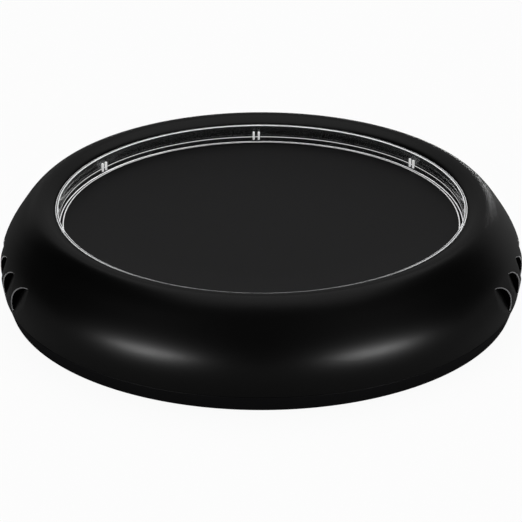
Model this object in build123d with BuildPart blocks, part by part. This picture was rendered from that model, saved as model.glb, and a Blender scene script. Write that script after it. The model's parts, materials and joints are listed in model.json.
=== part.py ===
from build123d import *
from math import cos, radians, sin, sqrt, tan
import os

# Electric mug warmer: a round desk-top heater, 130 mm across and 28 mm tall.
# Millimetres. +Z is up, the user sits on the -Y side, the cord leaves at +Y.
# The origin is on the table, under the middle of the warmer.

os.makedirs("parts", exist_ok=True)

# ---------------------------------------------------------------- driving sizes
housing_radius = 65.0      # the widest part of the rounded housing
housing_wall = 2.4
foot_height = 1.2          # the feet hold the base this far off the table
base_floor = 2.0
base_side_height = 4.2     # from the base's underside to the top of its outer side
base_taper_width = 2.5     # the underside is narrower than the housing by this much, all round
base_gap = 0.3             # the base stands this far inside the housing's lower edge
seam_gap = 0.2
seam_tuck_width = 0.8      # the housing's lower edge tucks in this far under its widest part
side_height = 5.2          # from the housing's lower edge up to its widest part
shoulder_height = 17.15    # from the widest part up to the top of the rounded lip
shoulder_width = 11.4      # and inward over the same stretch

lip_width = 2.25           # from the top of the lip in to the recess wall
lip_height = 1.35          # from the top of the lip down to the recess wall
recess_wall = 1.6
shelf_width = 4.35         # the ledge that carries the clear ring and the plate
shelf_thickness = 1.5
skirt_height = 1.0
skirt_wall = 1.6

ring_wall = 0.7            # clear ring: upper wall
ring_foot_wall = 1.05
ring_gap = 0.25            # between the clear ring and the recess wall
ring_lip_height = 0.2      # the ring stops this far below the lip's lower end
ring_height = 6.4
ring_step_height = 3.3     # height of the thicker foot of the ring
leg_count = 7
leg_width = 6.0
leg_thickness = 0.9
leg_length = 3.6
hook_width = 0.65
hook_height = 0.5

seal_thickness = 0.6
seal_gap = 0.2             # the seal keeps this clear of the shelf's edge and the plate's edge
plate_thickness = 1.6
plate_gap = 0.2            # between the plate's edge and the clear ring
plate_edge_round = 0.4

mica_thickness = 0.4
ribbon_thickness = 0.3
ribbon_width = 2.0
ribbon_spacing = 4.0
ribbon_inner_radius = 12.0
ribbon_turns = 6
ribbon_opening = 16.0      # degrees left open at the front of each turn
mica_edge_width = 1.0      # mica outside the outermost turn
pad_thickness = 2.0
clamp_thickness = 0.8
clamp_overlap = 1.4        # how far the clamp plate reaches under the skirt
stud_count = 4
stud_radius = 3.2
stud_gap = 0.8             # between the studs and the edge of the mica
stud_start = 45.0

screw_start = 45.0         # the four housing screws, each under a foot
boss_radius = 4.2
boss_height = 3.8
post_radius = 3.0
post_gap = 0.15            # between the posts and the face of the recess wall
post_cap_height = 2.0      # the posts end this far above the shelf
foot_radius = 6.0
foot_pocket = 1.0
foot_clearance = 0.15

spigot_wall = 1.6
spigot_height = 3.2
spigot_clearance = 0.2

gill_count = 6
gill_pitch = 8.5           # degrees
gill_front_angle = 23.3    # degrees in front of the side axis
gill_height = 1.6          # middle of a gill above the widest part
gill_length = 13.6         # from its upper front tip to its lower rear tip
gill_edge_bulge = 2.05     # how far the sharp edge bows to the rear and up
gill_open_bulge = 6.0      # how far the cutter reaches past the floor's soft side
gill_depth = 0.8           # of the floor under the middle of the line between the tips
gill_lean = 3.0            # degrees; the line of the tips leans in with the shoulder
gill_tilt = 16.0           # degrees; the floor sinks towards the sharp edge

control_height = 1.2       # switch and cord gland above the widest part
switch_azimuth = 63.0
cord_azimuth = 90.0
cord_radius = 3.0
cord_clearance = 0.1

screw_clearance = 0.05
slide_clearance = 0.1

# ---------------------------------------------------------------- worked-out levels and radii
base_bottom = foot_height
floor_top = base_bottom + base_floor
base_side_top = base_bottom + base_side_height
cover_bottom = base_side_top + seam_gap
equator_level = cover_bottom + side_height
crown_level = equator_level + shoulder_height
lip_level = crown_level - lip_height
ring_top = lip_level - ring_lip_height
shelf_top = ring_top - ring_height
shelf_bottom = shelf_top - shelf_thickness
skirt_bottom = shelf_bottom - skirt_height
plate_bottom = shelf_top + seal_thickness
clamp_top = skirt_bottom
clamp_bottom = clamp_top - clamp_thickness
boss_top = floor_top + boss_height
post_top = shelf_top + post_cap_height
control_level = equator_level + control_height
gill_level = equator_level + gill_height

base_bottom_radius = housing_radius - base_taper_width
seam_radius = housing_radius - seam_tuck_width
base_side_radius = seam_radius - base_gap
cover_inner_seam = seam_radius - housing_wall
crown_radius = housing_radius - shoulder_width
recess_radius = crown_radius - lip_width
shelf_inner_radius = recess_radius - shelf_width
skirt_outer_radius = shelf_inner_radius + skirt_wall
clamp_radius = shelf_inner_radius + clamp_overlap
ring_outer_radius = recess_radius - ring_gap
plate_radius = ring_outer_radius - ring_foot_wall - plate_gap
seal_inner_radius = shelf_inner_radius + seal_gap
seal_outer_radius = plate_radius - seal_gap
screw_circle = recess_radius + post_gap + post_radius
ribbon_outer_radius = ribbon_inner_radius + (ribbon_turns - 1) * ribbon_spacing
mica_radius = ribbon_outer_radius + ribbon_width / 2 + mica_edge_width
stud_circle = mica_radius + stud_gap + stud_radius


def keep(piece, name):
    """Names a finished piece and writes it as its own file."""
    piece.part.label = name
    export_step(piece.part, f"parts/{name}.step")


def polar(radius, azimuth, height):
    """A point given by its distance from the middle axis, its azimuth and its height."""
    return (radius * cos(radians(azimuth)), radius * sin(radians(azimuth)), height)


def radial_plane(azimuth, radius, height):
    """A plane that faces outward: its x runs counter-clockwise round the warmer, its y is up."""
    return Plane(
        origin=polar(radius, azimuth, height),
        x_dir=polar(1, azimuth + 90, 0),
        z_dir=polar(1, azimuth, 0),
    )


# ---------------------------------------------------------------- housing outline
# The shoulder between the equator and the crown, as shares of its run and its rise.
shoulder_shares = ((0.94, 0.33), (0.65, 0.69), (0.23, 0.945))
shoulder_points = [
    (crown_radius + run * shoulder_width, equator_level + rise * shoulder_height)
    for run, rise in shoulder_shares
]
housing_line = Spline(
    (seam_radius, cover_bottom),
    (housing_radius, equator_level),
    *shoulder_points,
    (crown_radius, crown_level),
    tangents=((0.2, 1), (-1, 0)),
)


def inset_point(share, distance):
    """A point inside the housing wall, at a share of the outline's length and a depth."""
    outer = housing_line @ share
    along = housing_line % share
    return (outer.X - distance * along.Y, outer.Y + distance * along.X)


inner_shares = (0.12, 0.3, 0.45, 0.6, 0.75, 0.88)
inner_points = [inset_point(share, housing_wall) for share in inner_shares]
crown_underside = (crown_radius, crown_level - housing_wall)

# ---------------------------------------------------------------- rear switch and cord sizes
bezel_width = 15.0
bezel_height = 10.4
bezel_thickness = 1.6
bezel_round = 1.0
switch_width = 13.3
switch_height = 8.5
switch_depth = 13.0
switch_clearance = 0.15
panel_wall = 2.2
land_overlap = 0.5         # how far the flat lands inside the wall reach into it
panel_margin = 1.5
rocker_pocket_width = 12.4
rocker_pocket_height = 6.9
rocker_pocket_depth = 8.0
rocker_pivot_depth = 3.2
rocker_end_clearance = 0.3
rocker_side_clearance = 0.2
rocker_throw = 20.0        # degrees from off to on
rocker_middle = 2.3        # from the pivot to the dip in the rocker's face
rocker_back = 2.2
pivot_pin_radius = 1.0
pivot_clearance = 0.05
blade_spacing = 7.2
switch_blade_width = 4.8
switch_blade_length = 7.0
blade_thickness = 0.8

panel_radius = housing_radius - bezel_thickness
panel_inner_radius = panel_radius - panel_wall
land_outer_radius = housing_radius - housing_wall + land_overlap
switch_back_radius = panel_radius - switch_depth
pivot_radius = housing_radius - rocker_pivot_depth
rocker_radius = rocker_pocket_width / 2 - rocker_end_clearance
panel_pad_width = bezel_width + 2 * panel_margin
panel_pad_height = bezel_height + panel_margin

gland_flange_radius = 5.6
gland_flange_thickness = 1.1
gland_neck_radius = 4.0
gland_wall = 2.9
gland_inner_flange = 2.5
gland_tail = 1.5
gland_tail_radius = 4.6
gland_clearance = 0.05
gland_seat_radius = housing_radius - gland_flange_thickness
gland_pad_radius = gland_seat_radius - gland_wall
gland_inner_radius = gland_pad_radius - gland_inner_flange
gland_end_radius = gland_inner_radius - gland_tail
gland_bore_radius = cord_radius + cord_clearance

# ---------------------------------------------------------------- top cover
rib_count = 8
rib_thickness = 1.2
rib_start = 22.5
cut_past = 6.0             # cuts run this far beyond the skin that they open

with BuildPart() as stiffening_rib:
    with BuildSketch(Plane.XZ):
        with BuildLine():
            Polyline(
                (recess_radius + recess_wall / 2, shelf_bottom),
                (inset_point(0.5, housing_wall / 2)[0], shelf_bottom),
                inset_point(0.62, housing_wall / 2),
                inset_point(0.75, housing_wall / 2),
                inset_point(0.88, housing_wall / 2),
                (recess_radius + recess_wall / 2, crown_level - housing_wall),
                close=True,
            )
        make_face()
    extrude(amount=rib_thickness / 2, both=True)


def gill_plane(azimuth):
    """The sloping floor of one gill: x runs down from tip to tip, y to the rear, up and inward."""
    face = radial_plane(azimuth, housing_radius - gill_depth, gill_level)
    rise = face.y_dir * cos(radians(gill_lean)) - face.z_dir * sin(radians(gill_lean))
    outward = face.z_dir * cos(radians(gill_lean)) + face.y_dir * sin(radians(gill_lean))
    tip_to_tip = (face.x_dir - rise) / sqrt(2)
    rear_up = (face.x_dir + rise) / sqrt(2)
    floor_normal = outward * cos(radians(gill_tilt)) + rear_up * sin(radians(gill_tilt))
    return Plane(origin=face.origin, x_dir=tip_to_tip, z_dir=floor_normal)


with BuildPart() as right_gills:
    for gill in range(gill_count):
        with BuildSketch(gill_plane(gill * gill_pitch - gill_front_angle)):
            with BuildLine():
                ThreePointArc((-gill_length / 2, 0), (0, gill_edge_bulge), (gill_length / 2, 0))
                ThreePointArc((-gill_length / 2, 0), (0, -gill_open_bulge), (gill_length / 2, 0))
            make_face()
        extrude(amount=cut_past)

with BuildPart() as top_cover:
    with BuildSketch(Plane.XZ):
        with BuildLine():
            add(housing_line)
            EllipticalCenterArc(
                (crown_radius, lip_level),
                lip_width,
                lip_height,
                start_angle=90,
                arc_size=90,
            )
            Polyline(
                (recess_radius, lip_level),
                (recess_radius, shelf_top),
                (shelf_inner_radius, shelf_top),
                (shelf_inner_radius, skirt_bottom),
                (skirt_outer_radius, skirt_bottom),
                (skirt_outer_radius, shelf_bottom),
                (recess_radius + recess_wall, shelf_bottom),
                (recess_radius + recess_wall, crown_underside[1]),
                crown_underside,
            )
            Spline(
                crown_underside,
                *reversed(inner_points),
                (cover_inner_seam, cover_bottom),
            )
            Line((cover_inner_seam, cover_bottom), (seam_radius, cover_bottom))
        make_face()
    revolve(axis=Axis.Z)
    with PolarLocations(0, rib_count, start_angle=rib_start):
        add(stiffening_rib.part)
    # posts for the four housing screws
    with BuildSketch(Plane.XY.offset(boss_top)):
        with PolarLocations(screw_circle, 4, start_angle=screw_start):
            Circle(post_radius)
    extrude(amount=post_top - boss_top)
    # flat lands inside the wall for the switch and for the cord gland
    with BuildSketch(radial_plane(switch_azimuth, panel_inner_radius, control_level)):
        Rectangle(panel_pad_width, panel_pad_height)
    extrude(amount=land_outer_radius - panel_inner_radius)
    with BuildSketch(radial_plane(cord_azimuth, gland_pad_radius, control_level)):
        Circle(gland_flange_radius + panel_margin / 2)
    extrude(amount=land_outer_radius - gland_pad_radius)
    # gills in both sides
    add(right_gills.part, mode=Mode.SUBTRACT)
    add(mirror(right_gills.part, about=Plane.YZ, mode=Mode.PRIVATE), mode=Mode.SUBTRACT)
    # sunk flat and cut-out for the switch
    with BuildSketch(radial_plane(switch_azimuth, panel_radius, control_level)):
        RectangleRounded(
            bezel_width + 2 * switch_clearance, bezel_height + 2 * switch_clearance, bezel_round
        )
    extrude(amount=cut_past, mode=Mode.SUBTRACT)
    with BuildSketch(radial_plane(switch_azimuth, panel_inner_radius, control_level)):
        Rectangle(switch_width + 2 * switch_clearance, switch_height + 2 * switch_clearance)
    extrude(amount=cut_past, both=True, mode=Mode.SUBTRACT)
    # spot face and hole for the cord gland
    with BuildSketch(radial_plane(cord_azimuth, gland_seat_radius, control_level)):
        Circle(gland_flange_radius + switch_clearance)
    extrude(amount=cut_past, mode=Mode.SUBTRACT)
    with BuildSketch(radial_plane(cord_azimuth, gland_pad_radius, control_level)):
        Circle(gland_neck_radius + gland_clearance)
    extrude(amount=cut_past, both=True, mode=Mode.SUBTRACT)

# slots in the shelf for the legs of the clear ring, and the pilot holes of the posts
leg_outer_radius = ring_outer_radius - gland_clearance
leg_inner_radius = leg_outer_radius - leg_thickness
slot_inner_radius = leg_inner_radius - slide_clearance
slot_depth = recess_radius - slot_inner_radius
slot_width = leg_width + 6 * slide_clearance
leg_start = 90.0
screw_radius = 1.45
screw_length = 10.0
screw_head_radius = 2.75
screw_head_height = 2.0
head_clearance = 0.25
screw_seat = base_bottom + foot_pocket + screw_head_height + slide_clearance

with top_cover:
    with BuildSketch(Plane.XY.offset(shelf_bottom)):
        with PolarLocations(slot_inner_radius + slot_depth / 2, leg_count, start_angle=leg_start):
            Rectangle(slot_depth, slot_width)
    extrude(amount=shelf_thickness, mode=Mode.SUBTRACT)
    with BuildSketch(Plane.XY.offset(boss_top)):
        with PolarLocations(screw_circle, 4, start_angle=screw_start):
            Circle(screw_radius + screw_clearance)
    extrude(amount=screw_seat + screw_length + slide_clearance - boss_top, mode=Mode.SUBTRACT)
keep(top_cover, "top_cover")

# ---------------------------------------------------------------- clear ring
ring_foot_top = shelf_top + ring_step_height
ring_round = 0.25

with BuildPart() as light_ring:
    with BuildSketch(Plane.XZ) as ring_section:
        with BuildLine():
            Polyline(
                (ring_outer_radius - ring_foot_wall, shelf_top),
                (ring_outer_radius, shelf_top),
                (ring_outer_radius, ring_top),
                (ring_outer_radius - ring_wall, ring_top),
                (ring_outer_radius - ring_wall, ring_foot_top),
                (ring_outer_radius - ring_foot_wall, ring_foot_top),
                close=True,
            )
        make_face()
        fillet(ring_section.vertices().group_by(Axis.Y)[-1], ring_round)
    revolve(axis=Axis.Z)
    with BuildSketch(Plane.XY.offset(shelf_top)):
        with PolarLocations(leg_inner_radius + leg_thickness / 2, leg_count, start_angle=leg_start):
            Rectangle(leg_thickness, leg_width)
    extrude(amount=-leg_length)
    with BuildSketch(Plane.XY.offset(shelf_bottom - slide_clearance)):
        with PolarLocations(leg_inner_radius - hook_width / 2, leg_count, start_angle=leg_start):
            Rectangle(hook_width, leg_width)
    extrude(amount=-hook_height)
keep(light_ring, "light_ring")

# ---------------------------------------------------------------- warming plate and its seal
clamp_screw_radius = 1.2
clamp_screw_length = 3.9
clamp_head_radius = 2.75
clamp_head_height = 1.8

with BuildPart() as warming_plate:
    with BuildSketch(Plane.XY.offset(plate_bottom)):
        Circle(plate_radius)
    extrude(amount=plate_thickness)
    fillet(warming_plate.edges().group_by(Axis.Z)[-1], plate_edge_round)
    with BuildSketch(Plane.XY.offset(clamp_top)):
        with PolarLocations(stud_circle, stud_count, start_angle=stud_start):
            Circle(stud_radius)
    extrude(amount=plate_bottom - clamp_top)
    with BuildSketch(Plane.XY.offset(clamp_top)):
        with PolarLocations(stud_circle, stud_count, start_angle=stud_start):
            Circle(clamp_screw_radius + screw_clearance)
    extrude(amount=clamp_screw_length - clamp_thickness + slide_clearance, mode=Mode.SUBTRACT)
keep(warming_plate, "warming_plate")

with BuildPart() as plate_seal:
    with BuildSketch(Plane.XY.offset(shelf_top)):
        Circle(seal_outer_radius)
        Circle(seal_inner_radius, mode=Mode.SUBTRACT)
    extrude(amount=seal_thickness)
keep(plate_seal, "plate_seal")

# ---------------------------------------------------------------- heater sandwich
cap_radius = 7.9
cap_clearance = 0.4
terminal_rod_radius = 1.0
bead_radius = 2.1
bead_drop = 0.7            # the ceramic beads stand this far below the clamp plate
rod_tail_length = 4.7      # the terminal rods reach this far below the clamp plate
bracket_screw_spacing = 25.0

rod_bottom = clamp_bottom - rod_tail_length
ribbon_top = plate_bottom - mica_thickness
ribbon_bottom = ribbon_top - ribbon_thickness
pad_top = ribbon_bottom - mica_thickness
pad_bottom = pad_top - pad_thickness
front_azimuth = 270.0
ribbon_first = front_azimuth + ribbon_opening / 2
ribbon_sweep = 360 - ribbon_opening
outer_rod = polar(ribbon_outer_radius, ribbon_first, 0)
inner_rod = polar(ribbon_inner_radius, ribbon_first, 0)


def heater_layer(bottom, thickness, rod_hole_radius):
    """A disc with a hole for the thermostat and, where a radius is given, two rod holes."""
    with BuildPart() as layer:
        with BuildSketch(Plane.XY.offset(bottom)):
            Circle(mica_radius)
            Circle(cap_radius + cap_clearance, mode=Mode.SUBTRACT)
            if rod_hole_radius:
                with Locations(outer_rod[:2], inner_rod[:2]):
                    Circle(rod_hole_radius, mode=Mode.SUBTRACT)
        extrude(amount=thickness)
    return layer


mica_top_sheet = heater_layer(ribbon_top, mica_thickness, None)
keep(mica_top_sheet, "mica_top_sheet")

with BuildPart() as heating_ribbon:
    with BuildSketch(Plane.XY.offset(ribbon_bottom)):
        with BuildLine():
            for turn in range(ribbon_turns):
                turn_radius = ribbon_outer_radius - turn * ribbon_spacing
                CenterArc((0, 0), turn_radius, ribbon_first, ribbon_sweep)
            for turn in range(ribbon_turns - 1):
                link_outer = ribbon_outer_radius - turn * ribbon_spacing
                link_azimuth = ribbon_first + (ribbon_sweep if turn % 2 == 0 else 0)
                Line(
                    polar(link_outer, link_azimuth, 0)[:2],
                    polar(link_outer - ribbon_spacing, link_azimuth, 0)[:2],
                )
        trace(line_width=ribbon_width)
    extrude(amount=ribbon_thickness)
keep(heating_ribbon, "heating_ribbon")

mica_bottom_sheet = heater_layer(pad_top, mica_thickness, terminal_rod_radius + screw_clearance)
keep(mica_bottom_sheet, "mica_bottom_sheet")

insulation_pad = heater_layer(pad_bottom, pad_thickness, bead_radius + slide_clearance)
keep(insulation_pad, "insulation_pad")

with BuildPart() as heater_terminals:
    with BuildSketch(Plane.XY.offset(rod_bottom)):
        with Locations(outer_rod[:2], inner_rod[:2]):
            Circle(terminal_rod_radius)
    extrude(amount=ribbon_bottom - rod_bottom)
keep(heater_terminals, "heater_terminals")

with BuildPart() as terminal_beads:
    with BuildSketch(Plane.XY.offset(clamp_bottom - bead_drop)):
        with Locations(outer_rod[:2], inner_rod[:2]):
            Circle(bead_radius)
            Circle(terminal_rod_radius + screw_clearance, mode=Mode.SUBTRACT)
    extrude(amount=pad_top - clamp_bottom + bead_drop)
keep(terminal_beads, "terminal_beads")

# ---------------------------------------------------------------- clamp plate
small_screw_radius = 1.0
small_head_radius = 1.9
small_head_height = 1.3
fuse_spacing = 22.0        # from the thermostat's middle to the fuse
fuse_y = -fuse_spacing
clip_screw_offset = 5.4
window_length = 18.0
window_width = 6.0
window_edge_width = 3.9    # clamp plate left outside the windows
window_count = 4
window_circle = clamp_radius - window_edge_width - window_width / 2

with BuildPart() as clamp_plate:
    with BuildSketch(Plane.XY.offset(clamp_bottom)):
        Circle(clamp_radius)
        Circle(cap_radius + cap_clearance, mode=Mode.SUBTRACT)
        with PolarLocations(stud_circle, stud_count, start_angle=stud_start):
            Circle(clamp_screw_radius + slide_clearance, mode=Mode.SUBTRACT)
        with PolarLocations(window_circle, window_count):
            SlotOverall(window_length, window_width, rotation=90, mode=Mode.SUBTRACT)
        with Locations((bracket_screw_spacing / 2, 0), (-bracket_screw_spacing / 2, 0)):
            Circle(clamp_screw_radius + screw_clearance, mode=Mode.SUBTRACT)
        with Locations((0, fuse_y - clip_screw_offset), (0, fuse_y + clip_screw_offset)):
            Circle(small_screw_radius + screw_clearance, mode=Mode.SUBTRACT)
        with Locations(outer_rod[:2], inner_rod[:2]):
            Circle(bead_radius + slide_clearance, mode=Mode.SUBTRACT)
    extrude(amount=clamp_thickness)
keep(clamp_plate, "clamp_plate")


def pan_screw(seat, shank_radius, length, head_radius, head_height, slot=0.5):
    """A screw that points up from its seat, with its head and driver slot below."""
    with BuildPart() as screw:
        with BuildSketch(Plane.XY.offset(seat)):
            Circle(shank_radius)
        extrude(amount=length)
        with BuildSketch(Plane.XY.offset(seat)):
            Circle(head_radius)
        extrude(amount=-head_height)
        with BuildSketch(Plane.XY.offset(seat - head_height)):
            Rectangle(2 * head_radius, slot)
        extrude(amount=slot, mode=Mode.SUBTRACT)
    return screw


one_clamp_screw = pan_screw(
    clamp_bottom, clamp_screw_radius, clamp_screw_length, clamp_head_radius, clamp_head_height
)

with BuildPart() as clamp_screws:
    with PolarLocations(stud_circle, stud_count, start_angle=stud_start):
        add(one_clamp_screw.part)
keep(clamp_screws, "clamp_screws")

# ---------------------------------------------------------------- thermostat
thermostat_radius = 7.3
thermostat_height = 6.3
bracket_thickness = 0.8
bracket_ear_width = 8.0
bracket_ring_radius = 9.2
thermostat_blade_width = 6.3
thermostat_blade_inner = 3.5
thermostat_blade_tip = 16.0
thermostat_bottom = clamp_bottom - thermostat_height
thermostat_blade_level = thermostat_bottom - blade_thickness / 2

with BuildPart() as thermostat_cap:
    with BuildSketch(Plane.XY.offset(clamp_bottom)):
        Circle(cap_radius)
    extrude(amount=plate_bottom - clamp_bottom)
    fillet(thermostat_cap.edges().group_by(Axis.Z)[-1], plate_edge_round)
keep(thermostat_cap, "thermostat_cap")

with BuildPart() as thermostat_body:
    with BuildSketch(Plane.XY.offset(thermostat_bottom)):
        Circle(thermostat_radius)
    extrude(amount=thermostat_height)
    chamfer(thermostat_body.edges().group_by(Axis.Z)[0], plate_edge_round)
keep(thermostat_body, "thermostat_body")

with BuildPart() as thermostat_bracket:
    with BuildSketch(Plane.XY.offset(clamp_bottom - bracket_thickness)):
        Circle(bracket_ring_radius)
        SlotCenterToCenter(bracket_screw_spacing, bracket_ear_width)
        Circle(thermostat_radius + slide_clearance, mode=Mode.SUBTRACT)
        with Locations((bracket_screw_spacing / 2, 0), (-bracket_screw_spacing / 2, 0)):
            Circle(clamp_screw_radius + slide_clearance, mode=Mode.SUBTRACT)
    extrude(amount=bracket_thickness)
keep(thermostat_bracket, "thermostat_bracket")

one_bracket_screw = pan_screw(
    clamp_bottom - bracket_thickness,
    clamp_screw_radius,
    bracket_thickness + clamp_thickness,
    clamp_head_radius,
    small_head_height,
)

with BuildPart() as thermostat_screws:
    with Locations((bracket_screw_spacing / 2, 0), (-bracket_screw_spacing / 2, 0)):
        add(one_bracket_screw.part)
keep(thermostat_screws, "thermostat_screws")

with BuildPart() as thermostat_terminals:
    blade_reach = thermostat_blade_tip - thermostat_blade_inner
    blade_middle = thermostat_blade_inner + blade_reach / 2
    with BuildSketch(Plane.XY.offset(thermostat_bottom)):
        with Locations((blade_middle, 0), (-blade_middle, 0)):
            Rectangle(blade_reach, thermostat_blade_width)
    extrude(amount=-blade_thickness)
keep(thermostat_terminals, "thermostat_terminals")

# ---------------------------------------------------------------- thermal fuse under its clip
fuse_radius = 2.0
fuse_length = 11.0
fuse_wire_radius = 0.5
fuse_wire_end = 12.0
sleeve_wall = 0.5
sleeve_length = 14.0
clip_thickness = 0.5
clip_width = 6.0
clip_ear_reach = 7.6
ferrule_radius = 1.5
ferrule_length = 4.5
lead_radius = 0.9
lead_end_gap = 0.1

sleeve_inner = fuse_radius + slide_clearance
sleeve_outer = sleeve_inner + sleeve_wall
clip_inner = sleeve_outer + screw_clearance
clip_outer = clip_inner + clip_thickness
fuse_level = clamp_bottom - sleeve_outer
ferrule_start = fuse_wire_end - ferrule_length / 2
ferrule_end = ferrule_start + ferrule_length
fuse_plane = Plane(origin=(0, fuse_y, fuse_level), x_dir=(0, 1, 0), z_dir=(1, 0, 0))

with BuildPart() as thermal_fuse:
    with BuildSketch(fuse_plane):
        Circle(fuse_radius)
    extrude(amount=fuse_length / 2, both=True)
    with BuildSketch(fuse_plane):
        Circle(fuse_wire_radius)
    extrude(amount=fuse_wire_end, both=True)
keep(thermal_fuse, "thermal_fuse")

with BuildPart() as fuse_sleeve:
    with BuildSketch(fuse_plane):
        Circle(sleeve_outer)
        Circle(sleeve_inner, mode=Mode.SUBTRACT)
    extrude(amount=sleeve_length / 2, both=True)
keep(fuse_sleeve, "fuse_sleeve")

with BuildPart() as fuse_ferrules:
    for side in (1, -1):
        with BuildSketch(fuse_plane.offset(side * ferrule_start)):
            Circle(ferrule_radius)
            Circle(lead_radius + screw_clearance, mode=Mode.SUBTRACT)
        extrude(amount=side * ferrule_length)
keep(fuse_ferrules, "fuse_ferrules")

with BuildPart() as fuse_clip:
    with BuildSketch(fuse_plane):
        Circle(clip_outer)
        with Locations((0, sleeve_outer / 2)):
            Rectangle(2 * clip_outer, sleeve_outer)
        with Locations((0, sleeve_outer - clip_thickness / 2)):
            Rectangle(2 * clip_ear_reach, clip_thickness)
        Circle(clip_inner, mode=Mode.SUBTRACT)
        with Locations((0, clip_outer / 2)):
            Rectangle(2 * clip_inner, clip_outer, mode=Mode.SUBTRACT)
    extrude(amount=clip_width / 2, both=True)
    with BuildSketch(Plane.XY.offset(clamp_bottom)):
        with Locations((0, fuse_y - clip_screw_offset), (0, fuse_y + clip_screw_offset)):
            Circle(small_screw_radius + screw_clearance)
    extrude(amount=-clip_thickness, mode=Mode.SUBTRACT)
keep(fuse_clip, "fuse_clip")

one_clip_screw = pan_screw(
    clamp_bottom - clip_thickness,
    small_screw_radius,
    clip_thickness + clamp_thickness,
    small_head_radius,
    small_head_height,
)

with BuildPart() as fuse_clip_screws:
    with Locations((0, fuse_y - clip_screw_offset), (0, fuse_y + clip_screw_offset)):
        add(one_clip_screw.part)
keep(fuse_clip_screws, "fuse_clip_screws")

# ---------------------------------------------------------------- base
base_corner_round = 0.8
spigot_top = base_side_top + spigot_height
spigot_outer_radius = cover_inner_seam - spigot_clearance
foot_pocket_radius = foot_radius + foot_clearance
vent_count = 12
vent_start = 15.0
vent_inner_radius = 18.0
vent_length = 16.0
vent_width = 2.4
plaque_width = 34.0        # bare sunk field in the underside
plaque_height = 12.0
plaque_edge_width = 9.5    # from the plaque to the edge of the underside
plaque_depth = 0.4
plaque_y = plaque_edge_width + plaque_height / 2 - base_bottom_radius

block_width = 22.0
block_length = 10.0
block_height = 7.0
block_cord_gap = 9.0       # bare cord between the gland and the terminal block
block_pad_height = 3.0
block_screw_radius = 1.2
block_screw_length = 8.0
block_y = gland_end_radius - block_cord_gap - block_length / 2
block_bottom = floor_top + block_pad_height
block_top = block_bottom + block_height

board_thickness = 1.2
board_width = 8.6
board_lamp_width = 2.4     # from the row of lamps out to the middle of the board
board_half_angle = 31.0
board_screw_half_angle = 18.0
board_post_radius = 2.5
board_screw_length = 7.0
lamp_width = 3.5
lamp_depth = 2.8
lamp_height = 1.4
lamp_gap = 0.8             # between the lamps and the legs of the clear ring
lamp_radius = leg_inner_radius + leg_thickness / 2
board_circle = lamp_radius + board_lamp_width
board_inner_radius = board_circle - board_width / 2
board_outer_radius = board_circle + board_width / 2
board_top = shelf_top - leg_length - lamp_gap - lamp_height
board_level = board_top - board_thickness
board_post_azimuths = (front_azimuth - board_screw_half_angle, front_azimuth + board_screw_half_angle)
board_screw_points = [polar(board_circle, azimuth, 0)[:2] for azimuth in board_post_azimuths]

with BuildPart() as base_cover:
    with BuildSketch(Plane.XZ):
        with BuildLine():
            Polyline(
                (0, base_bottom),
                (base_bottom_radius, base_bottom),
                (base_side_radius, base_side_top),
                (spigot_outer_radius, base_side_top),
                (spigot_outer_radius, spigot_top),
                (spigot_outer_radius - spigot_wall, spigot_top),
                (spigot_outer_radius - spigot_wall, floor_top),
                (0, floor_top),
                close=True,
            )
        make_face()
    revolve(axis=Axis.Z)
    fillet(base_cover.edges().group_by(Axis.Z)[0], base_corner_round)
    # bosses under the posts of the top cover
    with BuildSketch(Plane.XY.offset(floor_top)):
        with PolarLocations(screw_circle, 4, start_angle=screw_start):
            Circle(boss_radius)
    extrude(amount=boss_height)
    # pedestal of the terminal block and posts of the lamp board
    with BuildSketch(Plane.XY.offset(floor_top)):
        with Locations((0, block_y)):
            Rectangle(block_width, block_length)
    extrude(amount=block_pad_height)
    with BuildSketch(Plane.XY.offset(floor_top)):
        with Locations(*board_screw_points):
            Circle(board_post_radius)
    extrude(amount=board_level - floor_top)
    # pockets for the feet, screw heads and screws
    with BuildSketch(Plane.XY.offset(base_bottom)):
        with PolarLocations(screw_circle, 4, start_angle=screw_start):
            Circle(foot_pocket_radius)
    extrude(amount=foot_pocket, mode=Mode.SUBTRACT)
    with BuildSketch(Plane.XY.offset(base_bottom)):
        with PolarLocations(screw_circle, 4, start_angle=screw_start):
            Circle(screw_head_radius + head_clearance)
    extrude(amount=screw_seat - base_bottom, mode=Mode.SUBTRACT)
    with BuildSketch(Plane.XY.offset(base_bottom)):
        with PolarLocations(screw_circle, 4, start_angle=screw_start):
            Circle(screw_radius + slide_clearance)
    extrude(amount=boss_top - base_bottom, mode=Mode.SUBTRACT)
    # pilot holes for the block screw and the board screws
    with BuildSketch(Plane.XY.offset(block_bottom)):
        with Locations((0, block_y)):
            Circle(block_screw_radius + screw_clearance)
    extrude(amount=-block_pad_height, mode=Mode.SUBTRACT)
    with BuildSketch(Plane.XY.offset(board_level)):
        with Locations(*board_screw_points):
            Circle(small_screw_radius + screw_clearance)
    extrude(amount=-board_screw_length, mode=Mode.SUBTRACT)
    # cooling slots in the floor
    with BuildSketch(Plane.XY.offset(base_bottom)):
        with PolarLocations(vent_inner_radius + vent_length / 2, vent_count, start_angle=vent_start):
            SlotOverall(vent_length, vent_width)
    extrude(amount=base_floor, mode=Mode.SUBTRACT)
    with BuildSketch(Plane.XY.offset(base_bottom)):
        with Locations((0, plaque_y)):
            RectangleRounded(plaque_width, plaque_height, bezel_round)
    extrude(amount=plaque_depth, mode=Mode.SUBTRACT)
    # gaps in the spigot beside the switch and the cord gland
    with BuildSketch(radial_plane(switch_azimuth, spigot_outer_radius, spigot_top)):
        Rectangle(panel_pad_width + 1, 2 * spigot_height)
    extrude(amount=-cut_past, mode=Mode.SUBTRACT)
    with BuildSketch(radial_plane(cord_azimuth, spigot_outer_radius, spigot_top)):
        Rectangle(2 * gland_flange_radius + panel_margin + 1, 2 * spigot_height)
    extrude(amount=-cut_past, mode=Mode.SUBTRACT)
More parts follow.
